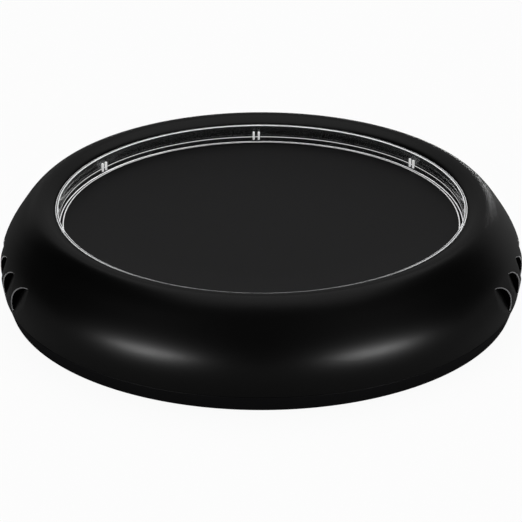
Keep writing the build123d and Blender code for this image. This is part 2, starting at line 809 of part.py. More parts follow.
keep(base_cover, "base_cover")

one_housing_screw = pan_screw(
    screw_seat, screw_radius, screw_length, screw_head_radius, screw_head_height
)

with BuildPart() as housing_screws:
    with PolarLocations(screw_circle, 4, start_angle=screw_start):
        add(one_housing_screw.part)
keep(housing_screws, "housing_screws")

foot_names = ("foot_rear_right", "foot_rear_left", "foot_front_left", "foot_front_right")
foot_edge_round = 0.5
for foot_index, foot_name in enumerate(foot_names):
    foot_centre = polar(screw_circle, screw_start + 90 * foot_index, 0)
    with BuildPart() as foot:
        with BuildSketch(Plane.XY):
            with Locations(foot_centre[:2]):
                Circle(foot_radius)
        extrude(amount=base_bottom + foot_pocket)
        fillet(foot.edges().group_by(Axis.Z)[0], foot_edge_round)
    keep(foot, foot_name)

# ---------------------------------------------------------------- rocker switch
switch_face = radial_plane(switch_azimuth, housing_radius, control_level)
blade_offsets = ((blade_spacing / 2, 0), (-blade_spacing / 2, 0))
pivot_point = polar(pivot_radius, switch_azimuth, control_level)

with BuildPart() as switch_housing:
    with BuildSketch(radial_plane(switch_azimuth, panel_radius, control_level)):
        RectangleRounded(bezel_width, bezel_height, bezel_round)
    extrude(amount=bezel_thickness)
    with BuildSketch(radial_plane(switch_azimuth, panel_radius, control_level)):
        Rectangle(switch_width, switch_height)
    extrude(amount=-switch_depth)
    with BuildSketch(switch_face):
        Rectangle(rocker_pocket_width, rocker_pocket_height)
    extrude(amount=-rocker_pocket_depth, mode=Mode.SUBTRACT)
    with BuildSketch(Plane.XY.offset(control_level)):
        with Locations(pivot_point[:2]):
            Circle(pivot_pin_radius + pivot_clearance)
    extrude(amount=switch_height, both=True, mode=Mode.SUBTRACT)
keep(switch_housing, "switch_housing")

# The rocker rests with its counter-clockwise end pressed in, which is off.
rocker_plane = Plane(
    origin=pivot_point,
    x_dir=polar(1, switch_azimuth + 90 + rocker_throw / 2, 0),
    z_dir=(0, 0, -1),
)
rocker_end = rocker_middle + rocker_radius * tan(radians(rocker_throw / 2))

with BuildPart() as switch_rocker:
    with BuildSketch(rocker_plane):
        Circle(rocker_radius)
        with BuildLine():
            Polyline(
                (-rocker_radius, -rocker_back),
                (rocker_radius, -rocker_back),
                (rocker_radius, rocker_end),
                (0, rocker_middle),
                (-rocker_radius, rocker_end),
                close=True,
            )
        make_face(mode=Mode.INTERSECT)
    extrude(amount=rocker_pocket_height / 2 - rocker_side_clearance, both=True)
    with BuildSketch(rocker_plane):
        Circle(pivot_pin_radius)
    extrude(amount=switch_height / 2, both=True)
keep(switch_rocker, "switch_rocker")

with BuildPart() as switch_terminals:
    with BuildSketch(radial_plane(switch_azimuth, switch_back_radius, control_level)):
        with Locations(*blade_offsets):
            Rectangle(blade_thickness, switch_blade_width)
    extrude(amount=-switch_blade_length)
keep(switch_terminals, "switch_terminals")

# ---------------------------------------------------------------- cord gland
with BuildPart() as cord_gland:
    with BuildSketch(radial_plane(cord_azimuth, gland_end_radius, control_level)):
        Circle(gland_tail_radius)
    extrude(amount=gland_tail)
    with BuildSketch(radial_plane(cord_azimuth, gland_inner_radius, control_level)):
        Circle(gland_flange_radius - gland_clearance)
    extrude(amount=gland_inner_flange)
    with BuildSketch(radial_plane(cord_azimuth, gland_pad_radius, control_level)):
        Circle(gland_neck_radius)
    extrude(amount=gland_wall)
    with BuildSketch(radial_plane(cord_azimuth, gland_seat_radius, control_level)):
        Circle(gland_flange_radius)
    extrude(amount=gland_flange_thickness)
    with BuildSketch(radial_plane(cord_azimuth, gland_end_radius, control_level)):
        Circle(gland_bore_radius)
    extrude(amount=housing_radius - gland_end_radius, mode=Mode.SUBTRACT)
keep(cord_gland, "cord_gland")

# ---------------------------------------------------------------- terminal block
pole_offset = 5.5
pole_bore_radius = 2.05
pole_height = 2.8
pole_level = block_bottom + pole_height
insert_radius = 2.0
insert_length = 8.4
insert_wire_radius = 1.35
terminal_screw_radius = 1.15
terminal_head_radius = 1.75
terminal_head_height = 1.2
terminal_screw_spacing = 4.2
block_head_radius = 2.2
block_head_height = 1.6
block_head_sink = 2.0
terminal_head_sink = 0.4   # the screw heads sit this far below the block's top
terminal_head_seat = block_top - terminal_head_height - terminal_head_sink
block_front_y = block_y - block_length / 2
insert_front_y = block_y - insert_length / 2
pole_plane = Plane(origin=(0, block_y, pole_level), x_dir=(1, 0, 0), z_dir=(0, -1, 0))
terminal_screw_points = [
    (side * pole_offset, block_y + end * terminal_screw_spacing / 2)
    for side in (1, -1)
    for end in (1, -1)
]

with BuildPart() as terminal_block:
    with BuildSketch(Plane.XY.offset(block_bottom)):
        with Locations((0, block_y)):
            Rectangle(block_width, block_length)
    extrude(amount=block_height)
    chamfer(terminal_block.edges().filter_by(Axis.Z), bezel_round)
    with BuildSketch(pole_plane):
        with Locations((pole_offset, 0), (-pole_offset, 0)):
            Circle(pole_bore_radius)
    extrude(amount=block_length / 2, both=True, mode=Mode.SUBTRACT)
    with BuildSketch(Plane.XY.offset(block_top)):
        with Locations(*terminal_screw_points):
            Circle(terminal_head_radius + slide_clearance)
    extrude(amount=pole_level - block_top, mode=Mode.SUBTRACT)
    with BuildSketch(Plane.XY.offset(block_top)):
        with Locations((0, block_y)):
            Circle(block_head_radius + slide_clearance)
    extrude(amount=-block_head_sink, mode=Mode.SUBTRACT)
    with BuildSketch(Plane.XY.offset(block_top)):
        with Locations((0, block_y)):
            Circle(block_screw_radius + slide_clearance)
    extrude(amount=-block_height, mode=Mode.SUBTRACT)
keep(terminal_block, "terminal_block")

with BuildPart() as terminal_inserts:
    with BuildSketch(pole_plane):
        with Locations((pole_offset, 0), (-pole_offset, 0)):
            Circle(insert_radius)
            Circle(insert_wire_radius, mode=Mode.SUBTRACT)
    extrude(amount=insert_length / 2, both=True)
    with BuildSketch(Plane.XY.offset(pole_level)):
        with Locations(*terminal_screw_points):
            Circle(terminal_screw_radius + screw_clearance)
    extrude(amount=insert_radius, mode=Mode.SUBTRACT)
keep(terminal_inserts, "terminal_inserts")

with BuildPart() as one_terminal_screw:
    with BuildSketch(Plane.XY.offset(pole_level)):
        Circle(terminal_screw_radius)
    extrude(amount=terminal_head_seat - pole_level)
    with BuildSketch(Plane.XY.offset(terminal_head_seat)):
        Circle(terminal_head_radius)
    extrude(amount=terminal_head_height)

with BuildPart() as terminal_screws:
    with Locations(*terminal_screw_points):
        add(one_terminal_screw.part)
keep(terminal_screws, "terminal_screws")

with BuildPart() as block_screw:
    with Locations((0, block_y)):
        with Locations((0, 0, block_top - block_head_sink)):
            Cylinder(
                block_screw_radius,
                block_screw_length - block_head_sink,
                align=(Align.CENTER, Align.CENTER, Align.MAX),
            )
            Cylinder(
                block_head_radius, block_head_height, align=(Align.CENTER, Align.CENTER, Align.MIN)
            )
keep(block_screw, "block_screw")

# ---------------------------------------------------------------- lamp board under the clear ring
resistor_radius = 1.2
resistor_length = 6.0
resistor_half_angle = 7.0
leg_azimuths = [leg_start + 360 / leg_count * leg for leg in range(leg_count)]
lamp_azimuths = [azimuth for azimuth in leg_azimuths if abs(azimuth - front_azimuth) < board_half_angle]

with BuildPart() as lamp_board:
    with BuildSketch(Plane.XY.offset(board_level)):
        with BuildLine():
            board_edge = CenterArc(
                (0, 0), board_outer_radius, front_azimuth - board_half_angle, 2 * board_half_angle
            )
            inner_edge = CenterArc(
                (0, 0), board_inner_radius, front_azimuth - board_half_angle, 2 * board_half_angle
            )
            Line(board_edge @ 0, inner_edge @ 0)
            Line(board_edge @ 1, inner_edge @ 1)
        make_face()
        with Locations(*board_screw_points):
            Circle(small_screw_radius + slide_clearance, mode=Mode.SUBTRACT)
    extrude(amount=board_thickness)
keep(lamp_board, "lamp_board")

with BuildPart() as board_lamps:
    for azimuth in lamp_azimuths:
        with BuildSketch(Plane.XY.offset(board_top)):
            with Locations(Location(polar(lamp_radius, azimuth, 0), (0, 0, azimuth))):
                Rectangle(lamp_depth, lamp_width)
        extrude(amount=lamp_height)
keep(board_lamps, "board_lamps")

with BuildPart() as board_resistors:
    for half_angle in (resistor_half_angle, -resistor_half_angle):
        with BuildSketch(
            Plane(
                origin=polar(board_circle, front_azimuth + half_angle, board_top + resistor_radius),
                z_dir=polar(1, front_azimuth + half_angle + 90, 0),
            )
        ):
            Circle(resistor_radius)
        extrude(amount=resistor_length / 2, both=True)
keep(board_resistors, "board_resistors")

with BuildPart() as board_screws:
    for point in board_screw_points:
        with Locations((point[0], point[1], board_top)):
            Cylinder(
                small_screw_radius,
                board_screw_length,
                align=(Align.CENTER, Align.CENTER, Align.MAX),
            )
            Cylinder(
                small_head_radius, small_head_height, align=(Align.CENTER, Align.CENTER, Align.MIN)
            )
keep(board_screws, "board_screws")

# ---------------------------------------------------------------- push-on connectors
connector_grip = 5.0
connector_end = 1.9
connector_wall = 0.55
switch_tip_radius = switch_back_radius - switch_blade_length
switch_lead_radius = switch_tip_radius - connector_end
thermostat_lead_x = thermostat_blade_tip + connector_end


def push_on_connector(tip_plane, blade_width):
    """A sleeve on a flat blade. The plane is at the blade's tip and faces its root."""
    with BuildPart() as connector:
        with BuildSketch(tip_plane.offset(-connector_end)):
            Rectangle(
                blade_width + 2 * connector_wall + 2 * screw_clearance,
                blade_thickness + 4 * connector_wall,
            )
        extrude(amount=connector_end + connector_grip)
        with BuildSketch(tip_plane.offset(-lead_end_gap)):
            Rectangle(blade_width + 2 * screw_clearance, blade_thickness + 2 * screw_clearance)
        extrude(amount=connector_grip + lead_end_gap, mode=Mode.SUBTRACT)
    return connector


def switch_tip_plane(offset_along):
    """The plane at the tip of a blade of the switch."""
    face = radial_plane(switch_azimuth, switch_tip_radius, control_level)
    return Plane(
        origin=face.origin + face.x_dir * offset_along, x_dir=face.y_dir, z_dir=face.z_dir
    )


def thermostat_tip_plane(side):
    """The plane at the tip of a blade of the thermostat."""
    return Plane(
        origin=(side * thermostat_blade_tip, 0, thermostat_blade_level),
        x_dir=(0, 1, 0),
        z_dir=(-side, 0, 0),
    )


left_switch_connector = push_on_connector(switch_tip_plane(blade_spacing / 2), switch_blade_width)
right_switch_connector = push_on_connector(switch_tip_plane(-blade_spacing / 2), switch_blade_width)
with BuildPart() as switch_connectors:
    add(left_switch_connector.part)
    add(right_switch_connector.part)
keep(switch_connectors, "switch_connectors")

right_connector = push_on_connector(thermostat_tip_plane(1), thermostat_blade_width)
left_connector = push_on_connector(thermostat_tip_plane(-1), thermostat_blade_width)
with BuildPart() as thermostat_connectors:
    add(right_connector.part)
    add(left_connector.part)
keep(thermostat_connectors, "thermostat_connectors")

# ---------------------------------------------------------------- internal leads
lamp_lead_radius = 0.6
largest_bend = 9.0


def bend_radii(points):
    """A bend for each corner, as large as the two runs beside it allow."""
    corners = [Vector(*point) for point in points]
    bends = []
    for before, corner, after in zip(corners, corners[1:], corners[2:]):
        turn = radians((corner - before).get_angle(after - corner))
        shorter_run = min((corner - before).length, (after - corner).length)
        bends.append(min(largest_bend, 0.45 * shorter_run / tan(turn / 2)))
    return bends


def lead(points, radius):
    """A round insulated wire along straight runs joined by tangent bends."""
    with BuildPart() as wire:
        with BuildLine() as route:
            FilletPolyline(*points, radius=bend_radii(points))
        with BuildSketch(Plane(origin=route.line @ 0, z_dir=route.line % 0)):
            Circle(radius)
        sweep(path=route.line)
    return wire


def beside_switch(radius, offset_along, height):
    """A point in line with a blade of the switch, at a distance from the middle axis."""
    face = radial_plane(switch_azimuth, radius, height)
    point = face.origin + face.x_dir * offset_along
    return (point.X, point.Y, point.Z)


lead_run = 6.0             # straight run out of a terminal before the first bend
lead_side_run = 8.0
lead_floor_gap = 2.0
lead_bypass_gap = 4.8      # between the thermostat and the lead that runs past it
lead_drop_height = 1.5
pair_gap = 1.8             # between the middles of two leads in one terminal
lamp_pair_gap = 2.6
lamp_lead_gap = 5.3        # between the bosses and the ring that the lamp leads follow
lamp_lead_start_height = 2.0
board_hole_gap = 2.3       # from the board's inner edge to the holes of the lamp leads

low_level = floor_top + lead_radius + lead_floor_gap
cross_level = low_level + lead_floor_gap
lamp_floor_level = floor_top + lamp_lead_radius + lead_end_gap
lamp_lead_circle = screw_circle - boss_radius - lamp_lead_gap
board_hole_circle = board_inner_radius + board_hole_gap
bypass_x = thermostat_radius + lead_radius + lead_bypass_gap
thermostat_turn_x = thermostat_lead_x + lead_side_run
switch_turn_radius = switch_lead_radius - lead_run
blade_side = blade_spacing / 2
neutral_x = pair_gap / 2 - pole_offset
lamp_neutral_x = -pole_offset - lamp_pair_gap / 2

lead_block_to_switch = lead(
    [
        (pole_offset, insert_front_y, pole_level),
        (pole_offset, block_front_y - lead_run, pole_level),
        beside_switch(switch_turn_radius, blade_side, control_level),
        beside_switch(switch_lead_radius, blade_side, control_level),
    ],
    lead_radius,
)
keep(lead_block_to_switch, "lead_block_to_switch")

lead_switch_to_thermostat = lead(
    [
        beside_switch(switch_lead_radius, -blade_side, control_level - lamp_pair_gap / 2),
        beside_switch(switch_turn_radius, -blade_side, control_level - lamp_pair_gap / 2),
        (thermostat_turn_x, 2 * lead_side_run, control_level - lead_drop_height),
        (thermostat_turn_x, 0, thermostat_blade_level),
        (thermostat_lead_x, 0, thermostat_blade_level),
    ],
    lead_radius,
)
keep(lead_switch_to_thermostat, "lead_switch_to_thermostat")

lead_thermostat_to_fuse = lead(
    [
        (-thermostat_lead_x, 0, thermostat_blade_level),
        (-thermostat_turn_x, 0, thermostat_blade_level),
        (-thermostat_turn_x, fuse_y + lead_side_run, thermostat_blade_level),
        (-ferrule_end - lead_run, fuse_y, fuse_level),
        (-fuse_wire_end - lead_end_gap, fuse_y, fuse_level),
    ],
    lead_radius,
)
keep(lead_thermostat_to_fuse, "lead_thermostat_to_fuse")

lead_fuse_to_heater = lead(
    [
        (fuse_wire_end + lead_end_gap, fuse_y, fuse_level),
        (ferrule_end + lead_run, fuse_y, fuse_level),
        (ferrule_end + lead_run, outer_rod[1], cross_level),
        (outer_rod[0], outer_rod[1], cross_level),
        (outer_rod[0], outer_rod[1], rod_bottom),
    ],
    lead_radius,
)
keep(lead_fuse_to_heater, "lead_fuse_to_heater")

lead_block_to_heater = lead(
    [
        (neutral_x, insert_front_y, pole_level),
        (neutral_x, block_front_y - lead_run, pole_level),
        (-bypass_x, block_front_y - 3 * lead_run, low_level),
        (-bypass_x, -lead_run, low_level),
        (inner_rod[0] - lead_run, inner_rod[1], low_level),
        (inner_rod[0], inner_rod[1], low_level),
        (inner_rod[0], inner_rod[1], rod_bottom),
    ],
    lead_radius,
)
keep(lead_block_to_heater, "lead_block_to_heater")

left_ring_azimuths = (148, 178, 208, 240)
right_ring_azimuths = (24, 0, -28, -60)
hole_half_angle = 9.0

left_lamp_lead = lead(
    [
        (lamp_neutral_x, insert_front_y, pole_level),
        (lamp_neutral_x, block_front_y - lead_run, pole_level),
        polar(lamp_lead_circle - lead_run, 120, lamp_floor_level + lamp_lead_start_height),
        *[polar(lamp_lead_circle, azimuth, lamp_floor_level) for azimuth in left_ring_azimuths],
        polar(board_hole_circle, front_azimuth - hole_half_angle, lamp_floor_level),
        polar(board_hole_circle, front_azimuth - hole_half_angle, board_level),
    ],
    lamp_lead_radius,
)
right_lamp_lead = lead(
    [
        beside_switch(switch_lead_radius, -blade_side, control_level + lamp_pair_gap / 2),
        beside_switch(switch_turn_radius, -blade_side, control_level + lamp_pair_gap / 2),
        polar(lamp_lead_circle - lead_run, 41, lamp_floor_level + 3 * lamp_lead_start_height),
        *[polar(lamp_lead_circle, azimuth, lamp_floor_level) for azimuth in right_ring_azimuths],
        polar(board_hole_circle, front_azimuth + hole_half_angle, lamp_floor_level),
        polar(board_hole_circle, front_azimuth + hole_half_angle, board_level),
    ],
    lamp_lead_radius,
)
with BuildPart() as lamp_leads:
    add(left_lamp_lead.part)
    add(right_lamp_lead.part)
keep(lamp_leads, "lamp_leads")
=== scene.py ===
# %% [markdown]
# # Electric mug warmer
# A round desk-top heater: a fat rounded housing of black plastic, a clear ring that lines its
# recess, and a sunk black plate that keeps a mug warm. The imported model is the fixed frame. It
# gives every piece its place, and the looks are built around it.

# %% Load the frame
import json
from math import atan2, cos, hypot, pi, radians, sin, sqrt, tan

import bpy
import numpy as np
from mathutils import Matrix, Vector

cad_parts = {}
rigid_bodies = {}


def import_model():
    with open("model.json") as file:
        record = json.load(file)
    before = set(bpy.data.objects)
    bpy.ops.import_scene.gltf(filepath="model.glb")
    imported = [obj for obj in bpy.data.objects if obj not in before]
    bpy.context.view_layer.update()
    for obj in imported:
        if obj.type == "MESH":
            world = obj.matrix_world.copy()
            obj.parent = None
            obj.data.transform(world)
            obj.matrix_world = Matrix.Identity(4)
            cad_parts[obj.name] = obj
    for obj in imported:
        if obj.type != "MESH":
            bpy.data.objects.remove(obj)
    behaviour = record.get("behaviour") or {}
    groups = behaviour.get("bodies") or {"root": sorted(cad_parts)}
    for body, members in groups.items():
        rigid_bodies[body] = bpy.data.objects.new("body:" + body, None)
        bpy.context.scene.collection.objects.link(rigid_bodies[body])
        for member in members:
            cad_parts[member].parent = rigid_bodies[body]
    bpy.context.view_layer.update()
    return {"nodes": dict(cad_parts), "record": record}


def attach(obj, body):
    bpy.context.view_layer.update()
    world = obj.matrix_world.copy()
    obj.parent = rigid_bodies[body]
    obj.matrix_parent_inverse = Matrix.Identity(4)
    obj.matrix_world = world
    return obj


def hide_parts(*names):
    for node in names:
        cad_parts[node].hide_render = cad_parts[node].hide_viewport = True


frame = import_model()
nodes = frame["nodes"]

# %% [markdown]
# ## Measures
# All measures are in millimetres, as on a maker's drawing, and `MM` turns them into Blender's
# metres. They repeat the measures of the model's own parts, because a piece that stands for
# one of those parts has to sit exactly where it does.

# %% Measures of the housing
MM = 0.001
HOUSING_RADIUS = 65.0
HOUSING_WALL = 2.4
SEAM_RADIUS = 64.2
SEAM_LEVEL = 5.6
EQUATOR_LEVEL = 10.1
CROWN_RADIUS = 55.0
CROWN_LEVEL = 27.95
RECESS_RADIUS = 51.35
LIP_LEVEL = 26.5
SHELF_TOP = 20.0
SHELF_BOTTOM = 18.5
SHELF_INNER = 47.0
SKIRT_BOTTOM = 17.5
SKIRT_OUTER = 48.6
RECESS_OUTER = 52.95
FRONT = 270.0
REAR = 90.0
print("housing:", 2 * HOUSING_RADIUS, "mm across,", CROWN_LEVEL, "mm tall")

# %% [markdown]
# ## Camera
# A long lens from a metre away, about 25 degrees above the table, keeps the round outline close
# to a plain ellipse, as in a catalogue picture.

# %% Camera
CAMERA_DISTANCE = 1.0
CAMERA_ELEVATION = 25.1
CAMERA_LENS = 276.1
CAMERA_SENSOR = 36.0
CAMERA_NEAREST = 0.05
CAMERA_SHIFT = -0.0007
AIM_LEVEL = 11.1
AIM = Vector((0, 0, AIM_LEVEL * MM))

camera_data = bpy.data.cameras.new("camera")
camera_data.lens = CAMERA_LENS
camera_data.sensor_width = CAMERA_SENSOR
camera_data.clip_start = CAMERA_NEAREST
camera_data.shift_x = CAMERA_SHIFT
camera = bpy.data.objects.new("camera", camera_data)
bpy.context.scene.collection.objects.link(camera)
up_tilt = radians(CAMERA_ELEVATION)
camera.location = AIM + CAMERA_DISTANCE * Vector((0, -cos(up_tilt), sin(up_tilt)))
camera.rotation_euler = (AIM - camera.location).to_track_quat("-Z", "Y").to_euler()
bpy.context.scene.camera = camera
print("camera at", [round(v, 3) for v in camera.location])

# %% [markdown]
# ## Bench helpers
# An operator works on everything that is selected, and the loaded parts come in selected. So
# every step starts by clearing the selection and naming the one piece to work on.

# %% Selecting and finishing
MERGE_GAP = 0.002
SMOOTH_ANGLE = 30.0
BASE_ANGLE = 35.0
SOFT_ANGLE = 40.0
WIDE_ANGLE = 50.0


def only(*pieces):
    """Leaves edit mode, clears the selection and picks these pieces alone."""
    if bpy.context.mode != "OBJECT":
        bpy.ops.object.mode_set(mode="OBJECT")
    bpy.ops.object.select_all(action="DESELECT")
    for piece in pieces:
        piece.select_set(True)
        bpy.context.view_layer.objects.active = piece


def edit(piece):
    """Opens one piece in edit mode with nothing selected."""
    only(piece)
    bpy.ops.object.mode_set(mode="EDIT")
    bpy.ops.mesh.select_all(action="DESELECT")


def settle(piece):
    """Moves a piece's place, turn and scale into its mesh."""
    only(piece)
    bpy.ops.object.transform_apply(location=True, rotation=True, scale=True)


def modify(piece, kind, **values):
    """Adds one modifier, sets it and applies it."""
    only(piece)
    modifier = piece.modifiers.new(kind.lower(), kind)
    for key, value in values.items():
        setattr(modifier, key, value)
    bpy.ops.object.modifier_apply(modifier=modifier.name)


def smooth(piece, angle=SMOOTH_ANGLE):
    """Shades a piece smooth, and leaves edges sharper than the angle crisp."""
    only(piece)
    bpy.ops.object.shade_smooth_by_angle(angle=radians(angle))


def tidy_mesh(piece, gap=MERGE_GAP):
    """Merges points closer than the gap and turns the faces outward."""
    edit(piece)
    bpy.ops.mesh.select_all(action="SELECT")
    bpy.ops.mesh.remove_doubles(threshold=gap * MM)
    bpy.ops.mesh.normals_make_consistent(inside=False)
    only(piece)


print("helpers: only, edit, settle, modify, smooth, tidy_mesh")

# %% [markdown]
# ## Drawing and turning
# Most of the warmer is turned: one half section swept round the middle axis. Here the section
# is drawn point by point, each point extruded from the last one, and `spin` carries it round.

# %% Drawn outlines and turned pieces
FINE_STEPS = 240
COARSE_STEPS = 180
ROUND_STEPS = 96
BAR_STEPS = 64
SMALL_STEPS = 48
PIN_STEPS = 32
ARC_STEPS = 6


def drawn(name, points):
    """Extrudes one vertex along a list of points, in millimetres, and leaves edit mode open."""
    only()
    bpy.ops.mesh.primitive_plane_add(size=MM, location=Vector(points[0]) * MM)
    piece = bpy.context.object
    piece.name = name
    settle(piece)
    edit(piece)
    bpy.ops.mesh.select_mode(type="VERT")
    bpy.ops.mesh.select_all(action="SELECT")
    bpy.ops.mesh.merge(type="CENTER")
    for before, after in zip(points, points[1:]):
        step = (Vector(after) - Vector(before)) * MM
        bpy.ops.mesh.extrude_region_move(TRANSFORM_OT_translate={"value": step})
    return piece


def turned(name, section, steps=COARSE_STEPS):
    """Spins a half section of (radius, height) points round the middle axis."""
    piece = drawn(name, [(radius, 0, height) for radius, height in section])
    bpy.ops.mesh.select_all(action="SELECT")
    bpy.ops.mesh.spin(steps=steps, angle=2 * pi, center=(0, 0, 0), axis=(0, 0, 1))
    tidy_mesh(piece)
    print(name, "turned:", len(piece.data.polygons), "faces")
    return piece


def prism(name, outline, depth):
    """Fills a closed outline and raises it by a depth, and leaves edit mode open."""
    piece = drawn(name, outline)
    bpy.ops.mesh.select_all(action="SELECT")
    bpy.ops.mesh.remove_doubles(threshold=MERGE_GAP * MM)
    bpy.ops.mesh.select_all(action="SELECT")
    bpy.ops.mesh.edge_face_add()
    bpy.ops.mesh.extrude_region_move(TRANSFORM_OT_translate={"value": (0, 0, depth * MM)})
    return piece


def arc(centre, radii, start, end, count):
    """Points of an ellipse's arc, given by its centre, its two radii and two angles."""
    angles = [radians(start + (end - start) * i / count) for i in range(count + 1)]
    return [(centre[0] + radii[0] * cos(a), centre[1] + radii[1] * sin(a)) for a in angles]


print("helpers: drawn, turned, prism, arc")

# %% [markdown]
# ## Housing
# The housing is one moulded shell. Its outside swells from the seam to the widest part, rolls
# over a soft shoulder to the crown, and turns down into the recess. A smooth curve through a few
# points gives that line without a single flat: a cubic spline, worked out as a small system of
# equations, bends no more sharply at its points than between them.

# %% A smooth curve through points
def spline(points, first_slope, last_slope, count):
    """A smooth curve through the points, leaving and arriving along the given directions."""
    points = np.array(points, float)
    runs = np.linalg.norm(np.diff(points, axis=0), axis=1)
    size = len(points)
    system = np.zeros((size, size))
    target = np.zeros((size, 2))
    system[0, 0] = system[-1, -1] = 1
    target[0] = np.array(first_slope) / hypot(*first_slope)
    target[-1] = np.array(last_slope) / hypot(*last_slope)
    for i in range(1, size - 1):
        system[i, i - 1 : i + 2] = (runs[i], 2 * (runs[i - 1] + runs[i]), runs[i - 1])
        target[i] = 3 * (
            runs[i] * (points[i] - points[i - 1]) / runs[i - 1]
            + runs[i - 1] * (points[i + 1] - points[i]) / runs[i]
        )
    slopes = np.linalg.solve(system, target)
    curve = []
    for i, run in enumerate(runs):
        for t in np.arange(0, 1, 1 / count):
            curve.append(
                (1 + 2 * t) * (1 - t) ** 2 * points[i]
                + t * (1 - t) ** 2 * run * slopes[i]
                + t * t * (3 - 2 * t) * points[i + 1]
                + t * t * (t - 1) * run * slopes[i + 1]
            )
    return [tuple(point) for point in curve] + [tuple(points[-1])]


print("helper: spline")

# %% Housing outline
SHOULDER = ((64.3, 15.9), (60.8, 22.45), (57.4, 26.75))
LIP = ((53.9, 27.86), (52.8, 27.44), (51.85, 26.94))
SEAM_SLOPE = (0.2, 1)
CROWN_SLOPE = (-1, 0)
LIP_SLOPE = (-0.6, -0.8)
SHOULDER_STEPS = 12
LIP_STEPS = 5
INSIDE_STEPS = 4
SEAM_LAND = 1.0

seam_point = (SEAM_RADIUS, SEAM_LEVEL)
equator_point = (HOUSING_RADIUS, EQUATOR_LEVEL)
crown_point = (CROWN_RADIUS, CROWN_LEVEL)
lip_point = (RECESS_RADIUS, LIP_LEVEL)
outer_line = spline(
    [seam_point, equator_point, *SHOULDER, crown_point], SEAM_SLOPE, CROWN_SLOPE, SHOULDER_STEPS
)
lip_line = spline([crown_point, *LIP, lip_point], CROWN_SLOPE, LIP_SLOPE, LIP_STEPS)


def inset(line, distance):
    """The same line moved inward, to the left of its run, by a wall's thickness."""
    moved = []
    for before, point, after in zip(line, line[1:], line[2:]):
        along = Vector(after) - Vector(before)
        along.normalize()
        moved.append((point[0] - distance * along.y, point[1] + distance * along.x))
    return moved


inner_line = [
    (radius, height)
    for radius, height in inset(outer_line, HOUSING_WALL)[::INSIDE_STEPS]
    if radius > CROWN_RADIUS and height > SEAM_LEVEL + SEAM_LAND
]
print("outline:", len(outer_line), "points outside,", len(inner_line), "inside")

# %% Turn the housing
housing_section = (
    outer_line
    + lip_line[1:]
    + [
        (RECESS_RADIUS, SHELF_TOP),
        (SHELF_INNER, SHELF_TOP),
        (SHELF_INNER, SKIRT_BOTTOM),
        (SKIRT_OUTER, SKIRT_BOTTOM),
        (SKIRT_OUTER, SHELF_BOTTOM),
        (RECESS_OUTER, SHELF_BOTTOM),
        (RECESS_OUTER, CROWN_LEVEL - HOUSING_WALL),
        (CROWN_RADIUS, CROWN_LEVEL - HOUSING_WALL),
    ]
    + inner_line[::-1]
    + [(SEAM_RADIUS - HOUSING_WALL, SEAM_LEVEL), (SEAM_RADIUS, SEAM_LEVEL)]
)
housing_shell = turned("housing_shell", housing_section)

# %% [markdown]
# ### Gills
# Both flanks carry a row of gills, like the scales of a fish. Each one has a crisp curved edge at
# its rear, and a flat floor that rises from under that edge and runs out to the front. A cutter
# with that shape is drawn once and copied round both flanks.

# %% One gill cutter
GILL_COUNT = 6
GILL_PITCH = 8.5
GILL_FRONT_ANGLE = 23.3
GILL_LEVEL = 12.4
GILL_LENGTH = 13.6
GILL_EDGE_BULGE = 2.05
GILL_OPEN_BULGE = 6.0
GILL_DEPTH = 1.1
GILL_LEAN = 3.0
GILL_TILT = 20.0
BOW_STEPS = 24
CUT_PAST = 6.0


def bow(chord, bulge, count=BOW_STEPS):
    """Points of a shallow arc that stands on a chord and rises by its bulge."""
    radius = (chord * chord / 4 + bulge * bulge) / (2 * bulge)
    half = atan2(chord / 2, radius - bulge)
    turns = [half * (2 * i / count - 1) for i in range(count + 1)]
    return [(radius * sin(a), bulge - radius * (1 - cos(a)), 0) for a in turns]


lean, tilt = radians(GILL_LEAN), radians(GILL_TILT)
rise = Vector((-sin(lean), 0, cos(lean)))
outward = Vector((cos(lean), 0, sin(lean)))
tip_to_tip = (Vector((0, 1, 0)) - rise) / sqrt(2)
rear_up = (Vector((0, 1, 0)) + rise) / sqrt(2)
floor_normal = outward * cos(tilt) + rear_up * sin(tilt)
floor_across = floor_normal.cross(tip_to_tip)
gill_place = Matrix((tip_to_tip, floor_across, floor_normal)).transposed().to_4x4()
gill_place.translation = Vector((HOUSING_RADIUS - GILL_DEPTH, 0, GILL_LEVEL)) * MM

edge_bow = bow(GILL_LENGTH, GILL_EDGE_BULGE)
open_bow = [(x, -y, z) for x, y, z in bow(GILL_LENGTH, GILL_OPEN_BULGE)]
gill_cutter = prism("gill_cutter", edge_bow + open_bow[-2:0:-1] + edge_bow[:1], CUT_PAST)
gill_cutter.matrix_world = gill_place
tidy_mesh(gill_cutter)
settle(gill_cutter)
print("gill cutter:", len(gill_cutter.data.polygons), "faces")

# %% Copy the cutter round both flanks
cutters = []
for index in range(GILL_COUNT):
    azimuth = radians(index * GILL_PITCH - GILL_FRONT_ANGLE)
    for side in (1, -1):
        cutter = gill_cutter.copy()
        cutter.data = gill_cutter.data.copy()
        bpy.context.scene.collection.objects.link(cutter)
        cutter.matrix_world = Matrix.Diagonal((side, 1, 1, 1)) @ Matrix.Rotation(azimuth, 4, "Z")
        settle(cutter)
        tidy_mesh(cutter)
        cutters.append(cutter)
bpy.data.objects.remove(gill_cutter)
only(*cutters)
bpy.ops.object.join()
flank_cutters = bpy.context.object
modify(housing_shell, "BOOLEAN", object=flank_cutters, operation="DIFFERENCE", solver="EXACT")
bpy.data.objects.remove(flank_cutters)
print("housing shell:", len(housing_shell.data.polygons), "faces after the gills")

# %% Round the sharp edges of the gills
GILL_EDGE_ROUND = 0.2
SHARP_ANGLE = 45
SKIN_TOLERANCE = 0.06
FLANK_FROM = 50.0
skin_radii = [radius for radius, height in outer_line]
skin_heights = [height for radius, height in outer_line]
skin_rises = list(np.gradient(skin_radii) / np.gradient(skin_heights))


